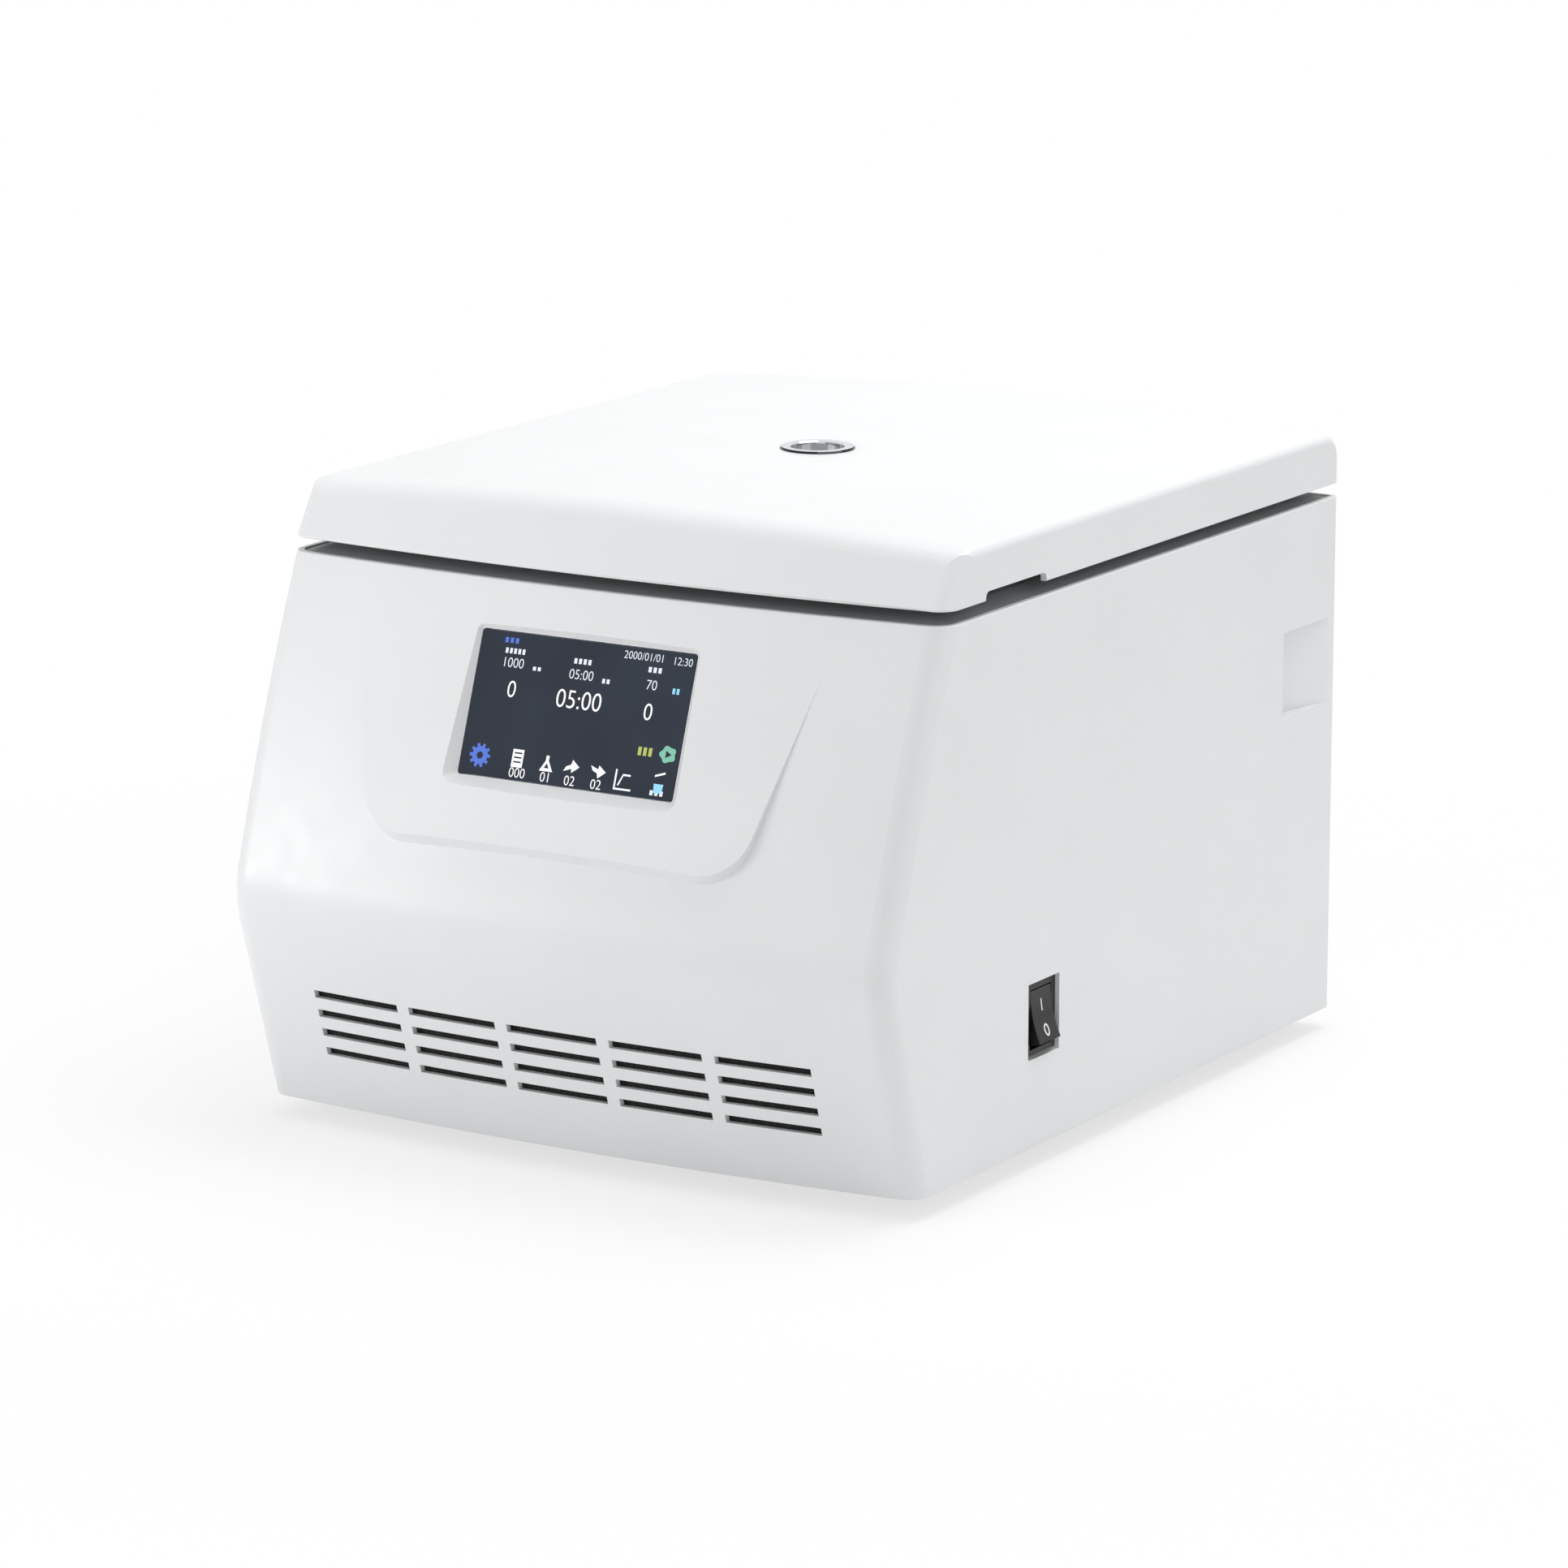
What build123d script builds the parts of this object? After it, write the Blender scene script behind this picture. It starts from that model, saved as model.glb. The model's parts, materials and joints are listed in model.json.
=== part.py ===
from build123d import *
from math import asin, atan2, cos, degrees, hypot, radians, sin, sqrt, tan
import os

# Bench cytocentrifuge. X to the right, Y to the rear, Z up, in millimetres.
# The origin is the middle of the footprint, on the surface that the feet stand on.

# ---------------------------------------------------------------- housing form
BODY_W = 405.0          # width over the side walls
BODY_D = 507.0          # depth from the belly of the front to the rear face
SHELL_H = 293.5         # bottom edge to top edge of the housing shell
FOOT_GAP = 12.0         # bottom edge of the shell above the bench
WALL = 3.5              # moulded wall
BELLY_H = 118.0         # height of the belly above the shell's bottom edge
BELLY_R = 55.0          # side-view radius of the belly
UPPER_LEAN = 16.5       # lean of the upper front where it leaves the belly, degrees
UPPER_SPAN = 12.0       # arc of the upper front, drawn on past the top edge, degrees
LOWER_LEAN = 17.3       # undercut of the lower front, degrees
FRONT_SETBACK = 60.0    # top edge of the front behind the belly
FRONT_BOW = 10.5        # how far the front bulges over the full width, seen from above
FRONT_CORNER_R = 13.0
REAR_CORNER_R = 5.0
RIM_R = 1.0             # rounded outer rims of the shell and the lid
FIT_GAP = 0.4           # all-round gap of a cover, deck or plate in its opening
SEAT_GAP = 0.1          # all round in a bolted or screwed seat
PIN_GAP = 0.02          # radial gap of a pin that stays put in its hole
SCREW_GAP = 0.2         # radial gap of a screw in a clearance hole

# ---------------------------------------------------------------- control panel and screen
PANEL_LOW = 167.0       # bottom edge of the raised panel above the shell's bottom edge
PANEL_HIGH = 280.0      # height at which the flat panel runs out into the curved front
PANEL_SINK_TOP = 0.1    # panel below the front where it has run out
PANEL_FOOT_W = 228.0    # width at the bottom edge, before the corners are rounded
PANEL_FLARE = 13.5      # lean of the panel's side edges, degrees
PANEL_CORNER_R = 30.0
PANEL_SLOPE = 6.5       # slope of the wall under the panel, over its root
PANEL_ROOT = 10.0       # panel carried into the shell
PANEL_BOW = 1.0         # panel's form carried past its bowed face
PANEL_OVERRUN = 12.0    # panel carried up inside the front
SCREEN_W = 131.5
SCREEN_H = 76.5
SCREEN_R = 2.0          # corners of the screen opening
SCREEN_GAP = 0.5        # around the screen glass
SCREEN_MID = 234.2      # middle of the screen above the shell's bottom edge
SCREEN_SINK = 5.0       # screen below the panel's surface
SCREEN_TILT = 3.0       # screen steeper than the panel, degrees
SCREEN_SLOPE = 8.0      # width of the sloped wall around the screen
POCKET_D = 9.0          # depth over which that wall slopes
DISPLAY_T = 6.0
DISPLAY_RIM = 3.5       # display module past the screen opening
BOARD_W = 150.0
BOARD_H = 92.0
BOARD_T = 1.6
STANDOFF_L = 5.0
STANDOFF_R = 3.0
STANDOFF_INSET = 3.0

# ---------------------------------------------------------------- vents, switch, scoops
VENT_COLS = 5
VENT_ROWS = 4
VENT_L = 55.5
VENT_H = 4.4
VENT_PITCH_X = 63.0
VENT_PITCH_Z = 11.2
VENT_REACH = 40.0       # half the depth that the slot cutters pass through
VENT_MID = 50.3         # middle of the vent field above the shell's bottom edge
FILTER_T = 2.0
FILTER_MARGIN = 4.0     # filter past the vent field
SWITCH_FROM_BELLY = 174.0  # middle of the rocker switch
SWITCH_Z = 68.5         # above the shell's bottom edge
SWITCH_OPEN_Y = 33.0
SWITCH_OPEN_Z = 41.0
SWITCH_SINK = 2.0       # bezel face below the side wall
BEZEL_T = 2.0
BEZEL_MARGIN = 1.25     # shell floor showing around the bezel
ROCKER_Y = 21.6
ROCKER_HALF = 14.2      # half the rocker's height
ROCKER_TIP = 7.2        # rocker's ends above its axle
ROCKER_DIP = 1.6        # hollow between the ends
ROCKER_TILT = 13.0      # each way from level, degrees
ROCKER_AXLE_R = 2.0
ROCKER_AXLE_SINK = 4.0  # axle below the bezel's face
ROCKER_SIDE_GAP = 0.4
ROCKER_END_GAP = 0.3
ROCKER_BACK = 4.0       # rocker's point behind its axle
SWITCH_CASE_SIDE = 3.0  # switch case past the rocker's sides
SWITCH_CASE_END = 1.4   # switch case past the swing of the rocker's ends
SWITCH_CASE_D = 24.0
SWITCH_CAVE_D = 12.0
BLADE_L = 8.0           # contact blades behind the switch
BLADE_W = 6.0
BLADE_T = 0.8
BLADE_PITCH = 11.0
SCOOP_FRONT = 65.0      # front lip of the side scoop ahead of the rear face
SCOOP_REAR = 11.0       # where the scoop runs out, ahead of the rear face
SCOOP_LOW = 178.0       # above the shell's bottom edge
SCOOP_H = 48.0
SCOOP_DEPTH = 11.0

# ---------------------------------------------------------------- deck and chamber
DECK_SEAT = 5.0         # deck's underside at its edge, below the shell's top edge
DECK_T = 4.0
LEDGE_W = 8.0
LEDGE_T = 3.0
DECK_SLOPE_IN = 14.0    # width of the sloped channel around the deck
DECK_SLOPE_H = 3.0      # top of the slope above the shell's top edge
DECK_CHANNEL_W = 6.0    # strip between the slope and the raised deck
DECK_STEP_H = 7.0       # raised deck above the shell's top edge
DECK_SKIN = 3.5
DECK_REAR_FLAT = 28.0   # low strip for the hinges along the rear
DECK_REAR_LIFT = 2.0    # low strip above the deck's edge
DECK_SCREW_L = 12.0     # into the frame post
BUFFER_SIDE = 82.5      # rubber buffers under the lid's front, from the side walls
BUFFER_R = 7.0
FRONT_ROOM = 41.0       # deck in front of the bowl's rim, for the latch
REAR_ROOM = 42.5        # deck behind the bowl's rim, for the hinges
SIDE_ROOM = 23.0        # deck beside the bowl's rim
BOWL_T = 1.5
BOWL_FLOOR = 161.5      # inside floor of the bowl above the shell's bottom edge
BOWL_KNEE_R = 22.0
BOWL_HOLE_R = 30.0
BOWL_RIM_W = 11.0
GASKET_W = 7.0
GASKET_GAP = 0.3        # gasket below the closed lid's liner
GASKET_INSET = 1.0      # gasket outside the chamber wall
GASKET_FOOT_H = 1.5
GUARD_GAP = 4.0         # guard ring outside the bowl
GUARD_T = 4.0
GUARD_H = 120.0
POST_SIDE = 42.5        # frame posts from the side walls
POST_FRONT = 140.0      # front posts behind the belly
POST_REAR = 94.0        # rear posts ahead of the rear face
POST_R = 7.0

# ---------------------------------------------------------------- drive
PLATE_T = 3.0           # steel base plate
PLATE_LIFT = 2.0        # base plate above the shell's bottom edge
DAMPER_H = 22.0
DAMPER_R = 12.0
DAMPER_PITCH = 140.0
DAMPER_FLANGE = 3.0
DAMPER_WAIST = 3.0
DAMPER_SLOPE = 4.0
MOTOR_PLATE_W = 172.0
MOTOR_PLATE_T = 4.0
MOTOR_R = 62.0
MOTOR_H = 96.0
MOTOR_FINS = 24
FIN_H = 4.0
FIN_T = 3.0
END_BELL_H = 8.0
END_BELL_SLOPE = 2.0
BOSS_R = 33.0
BOSS_H = 8.0
SEAL_W = 9.0
SEAL_LIP = 4.0
SEAL_FOLD = 3.0
SHAFT_R = 6.0
RUN_GAP = 0.05          # radial gap of a turning fit
COLLAR_R = 10.0
COLLAR_H = 6.0
SHAFT_SEAT = 20.0       # lower end of the shaft above the motor's base
SHAFT_FLOAT = 0.5
CONE_R = 9.0
CONE_H = 24.0
THREAD_R = 4.0
THREAD_L = 18.0

# ---------------------------------------------------------------- rotor and carriers
STATIONS = 6
ROTOR_GAP = 17.0        # bowl's wall outside the rotor
ROTOR_LIFT = 10.0       # rotor disc above the bowl's floor
DISC_T = 5.0
RIM_T = 3.0
RIM_H = 34.0
HUB_R = 28.0
HUB_H = 24.0
HUB_DROP = 6.0          # hub below the disc
HUB_FLARE = 8.0
KNOB_R = 21.0
KNOB_H = 24.0
KNOB_LOBES = 8
KNOB_CHAMFER = 3.0
KNOB_CROWN = 5.0
KNOB_ROOF = 6.0
FLUTE_R = 6.0
FLUTE_OUT = 3.5         # middle of a flute outside the knob
PIVOT_INSET = 32.0      # carrier pins inside the rotor's rim
PIVOT_H = 12.0          # carrier pins above the disc
PIN_R = 2.0
CARRIER_W = 30.0
CARRIER_H = 78.0        # above its pin
CARRIER_D = 12.0
CARRIER_T = 1.2
CARRIER_FOOT = 6.0      # below its pin
CARRIER_TAB = 10.0      # finger tab at the top of the back plate
SHELF_GAP = 1.6         # shelf that the slide stands on, above the pin
STRAP_DROP = 18.0       # front strap below the top
STRAP_H = 8.0
CARRIER_LEAN = 12.0     # resting lean towards the axis, degrees
EAR_GAP = 2.0
EAR_T = 4.0
EAR_HALF = 8.0
PAD_T = 3.0
HEEL_GAP = 0.3
FUNNEL_T = 2.2
FUNNEL_SIDE_GAP = 0.2
FUNNEL_DROP = 14.0      # top of the funnel plate below the carrier's top
CUP_SETBACK = 1.0       # cup clear of the carrier's front edge
CUP_FLOOR = 2.0
CUP_BELOW = 8.0         # cup's bottom below the port
PORT_RISE = 22.0        # port above the shelf
PORT_WALL = 2.0
CUP_R = 9.0
CUP_BORE_R = 7.4
CUP_H = 32.0
PORT_R = 3.5

# ---------------------------------------------------------------- lid
LID_GAP = 7.0           # gap between the shell's top edge and the lid's skirt
LID_WALL = 3.5
LID_LEAN = 32.0         # lean of the lid's front, degrees
LID_SETBACK = 61.0      # lid's front edge behind the belly
LID_CROWN = 42.5        # crown of the lid above the shell's top edge
LID_DROP = 6.5          # crown above the lid's side edges
LID_RIDGE_R = 18.0
LID_BACK_R = 15.0
LID_SIDE_R = 5.0
LID_CORNER_R = 12.0     # leaning corners at the lid's front, seen from above
CORNER_LIFT = 0.05      # corner arc outside the faces it joins, so that they cross
LINER_LIFT = 5.0        # liner above the skirt's bottom edge
LINER_T = 3.0
NOTCH_FRONT = 110.0     # finger notch behind the belly
NOTCH_L = 63.0
NOTCH_H = 5.0
NOTCH_R = 4.0
PORT_RING_R = 20.5      # view-port ring
PORT_RING_H = 1.6
PORT_SLEEVE_R = 16.5
PORT_SLEEVE_T = 1.8
PORT_PANE_T = 3.0
PORT_SLEEVE_GAP = 0.3
PORT_RING_LIFT = 0.4    # ring above the bottom of the dish
PORT_CHAMFER = 0.8
PORT_PANE_SINK = 3.2    # pane below the top of its ring
DISH_R = 32.0           # shallow dish around the view port
DISH_DEPTH = 0.8
BOSS_SIDE = 52.5        # lid bosses from the side walls
BOSS_FRONT = 122.0      # behind the belly
BOSS_REAR = 62.0        # ahead of the rear face
LID_BOSS_R = 5.0
SCREW_R = 2.0
SCREW_HEAD_R = 3.6
SCREW_HEAD_H = 2.4
SCREW_SLOT = 0.8
LID_SCREW_L = 8.0       # into the lid's boss

# ---------------------------------------------------------------- hinges and latch
HINGE_SIDE = 77.5       # hinges from the side walls
HINGE_BACK = 8.5        # hinge axis ahead of the rear face
HINGE_LIFT = 5.5        # hinge axis above the skirt's bottom edge
HINGE_PIN_R = 2.5
HINGE_EYE_R = 4.6
HINGE_ARM_W = 19.0
HINGE_EAR_T = 5.0
HINGE_SIDE_GAP = 1.0
HINGE_BASE_GAP = 2.0    # bracket behind the raised deck
HINGE_BASE_D = 12.0
HINGE_BASE_T = 2.5
HINGE_EAR_D = 8.0
HINGE_PIN_END = 1.0
HINGE_LEAF_L = 90.0
HINGE_LEAF_T = 2.6
STRIKER_T = 4.0
STRIKER_W = 14.0
STRIKER_L = 32.0
STRIKER_FOOT_T = 2.0
STRIKER_WINDOW = 10.0   # middle of the bolt's window above the striker's end
STRIKER_SIDE_GAP = 2.0  # around the striker in the deck's slot
BOLT_W = 6.0
BOLT_TRAVEL = 12.0
BOLT_GAP = 1.0          # around the bolt in its windows
BOLT_REST = 1.5         # bolt's tip clear of the striker
BOLT_L = 22.0
BOLT_GUIDE = 0.3        # around the bolt in the bracket's legs
LEG_T = 3.0
SOLENOID_W = 24.0
SOLENOID_L = 45.0
PLUNGER_R = 4.0
PLUNGER_L = 37.0
SOLENOID_STANDOFF = 20.0  # solenoid behind the near leg
SOLENOID_WALL = 6.0

# ---------------------------------------------------------------- rear
REAR_OPEN_W = 340.0
REAR_OPEN_LOW = 20.0    # above the shell's bottom edge
REAR_OPEN_H = 236.0
REAR_FRAME = 8.0
REAR_PANEL_T = 2.0
REAR_SCREW_R = 3.0
REAR_SCREW_H = 1.4
LOUVRE_COLS = 3
LOUVRE_ROWS = 4
LOUVRE_W = 46.0
LOUVRE_H = 4.0
LOUVRE_PITCH_X = 60.0
LOUVRE_PITCH_Z = 9.0
LOUVRE_X = 20.0         # middle of the louvre field
LOUVRE_Z = 219.5
FAN_X = -95.0
FAN_Z = 140.0
FAN_W = 92.0
FAN_D = 25.0
FAN_R = 42.0
FAN_BLADES = 7
FAN_HUB_R = 17.0
FAN_SPINDLE_R = 3.0
FAN_WEB_T = 3.0
FAN_WEB_R = 18.0
FAN_SPOKE_W = 4.0
FAN_SPOKES = 4
BLADE_TWIST = 38.0      # fan blades, degrees
BLADE_CHORD = 20.0
FAN_BLADE_T = 1.6
FAN_SWEEP_GAP = 1.0     # blades clear of the frame
GUARD_RINGS = 5
GUARD_WIRE = 1.4
GUARD_PITCH = 8.0
INLET_X = 120.0
INLET_Z = 62.0
INLET_W = 30.0
INLET_H = 48.0
INLET_FLANGE_T = 1.5
INLET_FLANGE = 2.9      # flange past the inlet's case
INLET_D = 26.0
SOCKET_W = 22.5
SOCKET_H = 16.5
SOCKET_R = 2.0
SOCKET_D = 17.5
SOCKET_UP = 9.0         # socket above the inlet's middle
SOCKET_PINS = [(-7.0, -2.0), (7.0, -2.0), (0.0, 2.0)]
SOCKET_PIN = (2.0, 15.0, 4.0)
FUSE_W = 18.2
FUSE_H = 11.2
FUSE_DOWN = 11.5        # fuse drawer below the inlet's middle
FUSE_HOLD = 9.0         # drawer still in its bay when it is pulled out
FUSE_WALL = 2.1
FUSE_GAP = 0.4
FUSE_TRAVEL = 12.0

# ---------------------------------------------------------------- feet
FOOT_X = 145.0
FOOT_FRONT_Y = -140.0
FOOT_REAR_Y = 195.0
FOOT_R = 17.0
FOOT_PAD = 4.0          # straight part under the plate
FOOT_TAPER = 3.0
FOOT_EDGE = 1.0
FOOT_CUP_GAP = 3.5      # around the screw in the foot's cup
FOOT_CUP_ROOF = 5.0
FOOT_SCREW_R = 2.5
FOOT_SCREW_HEAD = 2.3   # head past the shank
FOOT_SCREW_HEAD_H = 3.0
FOOT_SCREW_END = 4.0    # above the base plate

# ---------------------------------------------------------------- boards
# Chips and power parts are (x, y, wide, deep, tall), from the middle of their board.
CHIPS = [(-45, 20, 18, 18, 2.4), (-10, 15, 24, 24, 2.8), (35, 22, 30, 12, 4.0), (40, -18, 14, 26, 9.0),
         (-40, -25, 34, 9, 8.0), (5, -26, 20, 9, 8.0), (-60, -5, 8, 20, 6.0)]
POWER_X = 121.0         # middle of the power board
POWER_Y = 92.5
POWER_W = 58.0
POWER_D = 185.0
POWER_PILLAR = 5.0      # pillars in from the board's edges
POWER_PARTS = [(-3.0, -26.5, 40, 36, 32.0), (-8.0, 67.5, 26, 20, 18.0), (0.0, 83.5, 50, 10, 12.0)]
CAPACITOR_R = 11.0
CAPACITOR_H = 36.0
CAPACITOR_PITCH = 24.0
CAPACITOR_Y = -68.5
SINK_W = 46.0
SINK_Y = 32.5
SINK_H = 32.0
SINK_BASE = 5.0
SINK_FINS = 8
SINK_FIN_T = 2.0

# ---------------------------------------------------------------- heights and places worked out from these
BOTTOM_Z = FOOT_GAP
TOP_Z = BOTTOM_Z + SHELL_H
FRONT_Y = -BODY_D / 2
REAR_Y = BODY_D / 2
HALF_W = BODY_W / 2
BOW_R = (HALF_W**2 + FRONT_BOW**2) / (2 * FRONT_BOW)
BOW_AXIS = Axis((0, FRONT_Y + BOW_R, 0), (0, 0, 1))
BOW_SPAN = 2 * degrees(asin(0.6 * BODY_W / (BOW_R - BODY_D)))

BELLY_CY = FRONT_Y + BELLY_R
BELLY_CZ = BOTTOM_Z + BELLY_H
LEAVE_Y = BELLY_CY - BELLY_R * cos(radians(UPPER_LEAN))
LEAVE_Z = BELLY_CZ + BELLY_R * sin(radians(UPPER_LEAN))
CHORD_Y = FRONT_Y + FRONT_SETBACK - LEAVE_Y
CHORD_Z = TOP_Z - LEAVE_Z
UPPER_R = (CHORD_Y**2 + CHORD_Z**2) / (
    2 * (CHORD_Y * cos(radians(UPPER_LEAN)) - CHORD_Z * sin(radians(UPPER_LEAN)))
)
UPPER_CY = LEAVE_Y + UPPER_R * cos(radians(UPPER_LEAN))
UPPER_CZ = LEAVE_Z - UPPER_R * sin(radians(UPPER_LEAN))

DECK_Z = TOP_Z - DECK_SEAT
DECK_TOP = TOP_Z + DECK_STEP_H
DECK_UNDER = DECK_TOP - DECK_SKIN
DECK_SLOPE_TOP = TOP_Z + DECK_SLOPE_H
STEP_INSET = WALL + DECK_SLOPE_IN + DECK_CHANNEL_W
DECK_FRONT_Y = FRONT_Y + FRONT_SETBACK + STEP_INSET
LID_Z = TOP_Z + LID_GAP
LINER_Z = LID_Z + LINER_LIFT
LINER_TOP = LINER_Z + LINER_T
CROWN_Z = TOP_Z + LID_CROWN
HINGE_Y = REAR_Y - HINGE_BACK
HINGE_Z = LID_Z + HINGE_LIFT
HINGE_X = HALF_W - HINGE_SIDE
HINGE_FLAT_Y = REAR_Y - DECK_REAR_FLAT
RIM_OUT_R = min((HINGE_FLAT_Y - DECK_FRONT_Y - FRONT_ROOM - REAR_ROOM) / 2, HALF_W - STEP_INSET - SIDE_ROOM)
CHAMBER_R = RIM_OUT_R - BOWL_RIM_W
ROTOR_Y = (DECK_FRONT_Y + FRONT_ROOM + HINGE_FLAT_Y - REAR_ROOM) / 2
ROTOR_R = CHAMBER_R - ROTOR_GAP
PIVOT_R = ROTOR_R - PIVOT_INSET
LATCH_Y = (DECK_FRONT_Y + ROTOR_Y - RIM_OUT_R) / 2
HINGE_FLAT_Z = DECK_Z + DECK_T + DECK_REAR_LIFT
PLATE_Z = BOTTOM_Z + PLATE_LIFT
PLATE_TOP = PLATE_Z + PLATE_T
MOTOR_PLATE_Z = PLATE_TOP + DAMPER_H
MOTOR_Z = MOTOR_PLATE_Z + MOTOR_PLATE_T
MOTOR_TOP = MOTOR_Z + MOTOR_H
BOSS_TOP = MOTOR_TOP + BOSS_H
FLOOR_Z = BOTTOM_Z + BOWL_FLOOR
DISC_Z = FLOOR_Z + ROTOR_LIFT
DISC_TOP = DISC_Z + DISC_T
HUB_Z = DISC_Z - HUB_DROP
HUB_TOP = DISC_Z + HUB_H
PIVOT_Z = DISC_TOP + PIVOT_H
SWITCH_Y = FRONT_Y + SWITCH_FROM_BELLY
SWITCH_MID = BOTTOM_Z + SWITCH_Z
SWITCH_FACE = HALF_W - SWITCH_SINK
AXLE_X = SWITCH_FACE - ROCKER_AXLE_SINK
SWITCH_BACK = SWITCH_FACE - BEZEL_T
CASE_Y = ROCKER_Y / 2 + SWITCH_CASE_SIDE
ROCKER_SWING = hypot(ROCKER_HALF, ROCKER_TIP)
CASE_Z = ROCKER_SWING + SWITCH_CASE_END
PANEL_FACE_Y = REAR_Y - WALL
PANEL_OUT_Y = PANEL_FACE_Y + REAR_PANEL_T
INLET_MID = BOTTOM_Z + INLET_Z
BOLT_Z = LINER_Z - STRIKER_L + STRIKER_WINDOW
BOLT_TIP = -STRIKER_T / 2 - BOLT_REST
PLUNGER_X = BOLT_TIP - BOLT_L
NEAR_LEG_X = BOLT_TIP - BOLT_REST - LEG_T


# ---------------------------------------------------------------- helpers
def block(x0, x1, y0, y1, z0, z1):
    """Box between two corners."""
    return Pos((x0 + x1) / 2, (y0 + y1) / 2, (z0 + z1) / 2) * Box(x1 - x0, y1 - y0, z1 - z0)


def post(x, y, z0, z1, r):
    """Upright cylinder from z0 to z1."""
    return Pos(x, y, (z0 + z1) / 2) * Cylinder(r, z1 - z0)


def tube(x, y, z0, z1, r_out, r_in):
    """Upright ring from z0 to z1."""
    return post(x, y, z0, z1, r_out) - post(x, y, z0 - 1, z1 + 1, r_in)


def bar_x(x0, x1, y, z, r):
    """Round bar along X."""
    return Pos((x0 + x1) / 2, y, z) * Rot(0, 90, 0) * Cylinder(r, x1 - x0)


def bar_y(y0, y1, x, z, r):
    """Round bar along Y."""
    return Pos(x, (y0 + y1) / 2, z) * Rot(90, 0, 0) * Cylinder(r, y1 - y0)


def turned(points, x=0.0, y=0.0):
    """Solid turned about an upright axis from (radius, height) points."""
    outline = Plane.XZ * make_face(Polyline(*points, close=True))
    return Pos(x, y, 0) * revolve(outline, Axis.Z)


def save(node, shape):
    """Write one sub-part to its STEP file."""
    export_step(shape, f"parts/{node}.step")


# ---------------------------------------------------------------- forms shared by several pieces
def bowed(face):
    """Side-view face swept round the bow axis, so that its front bulges like the housing's."""
    return revolve(face.rotate(BOW_AXIS, -BOW_SPAN / 2), BOW_AXIS, revolution_arc=BOW_SPAN)


def body_core(inset):
    """Housing's outer form, drawn in by inset, taller than the housing at both ends."""
    down = radians(LOWER_LEAN)
    belly_r = BELLY_R - inset
    belly = CenterArc((BELLY_CY, BELLY_CZ), belly_r, 180 - UPPER_LEAN, UPPER_LEAN + LOWER_LEAN)
    upper_from = 180 - UPPER_LEAN - UPPER_SPAN
    upper = CenterArc((UPPER_CY, UPPER_CZ), UPPER_R - inset, upper_from, UPPER_SPAN)
    leave = (BELLY_CY - belly_r * cos(down), BELLY_CZ - belly_r * sin(down))
    run = 2 * BELLY_H
    low = (leave[0] + run * sin(down), leave[1] - run * cos(down))
    far = REAR_Y + BELLY_R
    top = upper @ 0
    rest = Polyline(leave, low, (far, low[1]), (far, top.Y), (top.X, top.Y))
    face = Plane.YZ * make_face(Curve() + [upper, belly, rest])
    half, rear = HALF_W - inset, REAR_Y - inset
    spare = FOOT_GAP
    form = bowed(face) & block(-half, half, FRONT_Y - 1, rear, BOTTOM_Z - spare, TOP_Z + spare)
    upright = [e for e in form.edges() if abs((e @ 1 - e @ 0).Z) > 0.5 * e.length]
    sides = [e for e in upright if abs(abs(e.center().X) - half) < 0.2]
    form = fillet([e for e in sides if e.center().Y < 0], max(FRONT_CORNER_R - inset, WALL))
    upright = [e for e in form.edges() if abs((e @ 1 - e @ 0).Z) > 0.9 * e.length]
    backs = [e for e in upright if abs(e.center().Y - rear) < 0.2 and abs(abs(e.center().X) - half) < 0.2]
    return fillet(backs, max(REAR_CORNER_R - inset, 1.0))


def body_form(inset, z0, z1):
    """Housing's outer form, drawn in by inset, between two heights."""
    return body_core(inset) & block(-HALF_W, HALF_W, FRONT_Y, REAR_Y, z0, z1)


def round_rim(form, z, r):
    """Round the outer rim of a form at a height."""
    rim = [f for f in form.faces() if abs(f.center().Z - z) < 0.01][0]
    return fillet(rim.outer_wire().edges(), r)


def edges_across(form, z0):
    """Long edges that run from side to side, clear of the form's lower rim at z0."""
    long_edges = [e for e in form.edges() if e.length > HALF_W and abs(e.center().X) < 1]
    return [e for e in long_edges if e.center().Z > z0 + LID_DROP]


def lid_form(inset, z0):
    """Lid's outer form, drawn in by inset, from height z0 up."""
    lean = radians(LID_LEAN)
    start = FRONT_Y + LID_SETBACK + inset / cos(lean)
    top = LID_Z + 3 * LID_CROWN
    low = LID_Z - LID_CROWN
    front_low = (start - (LID_Z - low) * tan(lean), low)
    front_top = (start + (top - LID_Z) * tan(lean), top)
    far = REAR_Y + BELLY_R
    face = Plane.YZ * make_face(Polyline(front_low, front_top, (far, top), (far, low), close=True))
    half, rear = HALF_W - inset, REAR_Y - inset
    arch_r = (HALF_W**2 + LID_DROP**2) / (2 * LID_DROP)
    arch = Pos(0, 0, TOP_Z + LID_CROWN - arch_r) * Rot(90, 0, 0)
    form = bowed(face) & block(-half, half, FRONT_Y, rear, z0, top)
    form = form & (arch * Cylinder(arch_r - inset, 3 * BODY_D))
    ridge = [e for e in edges_across(form, z0) if e.center().Y < 0]
    form = fillet(ridge, LID_RIDGE_R - inset)
    back = [e for e in edges_across(form, z0) if e.center().Y > rear - 2]
    form = fillet(back, LID_BACK_R - inset)
    sides = [e for e in form.edges() if abs(abs(e.center().X) - half) < 0.2 and e.center().Z > z0 + 1]
    form = fillet(sides, LID_SIDE_R - inset)
    return form - [corner_cut(side, inset, z0 - 1) for side in (-1, 1)]


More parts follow.
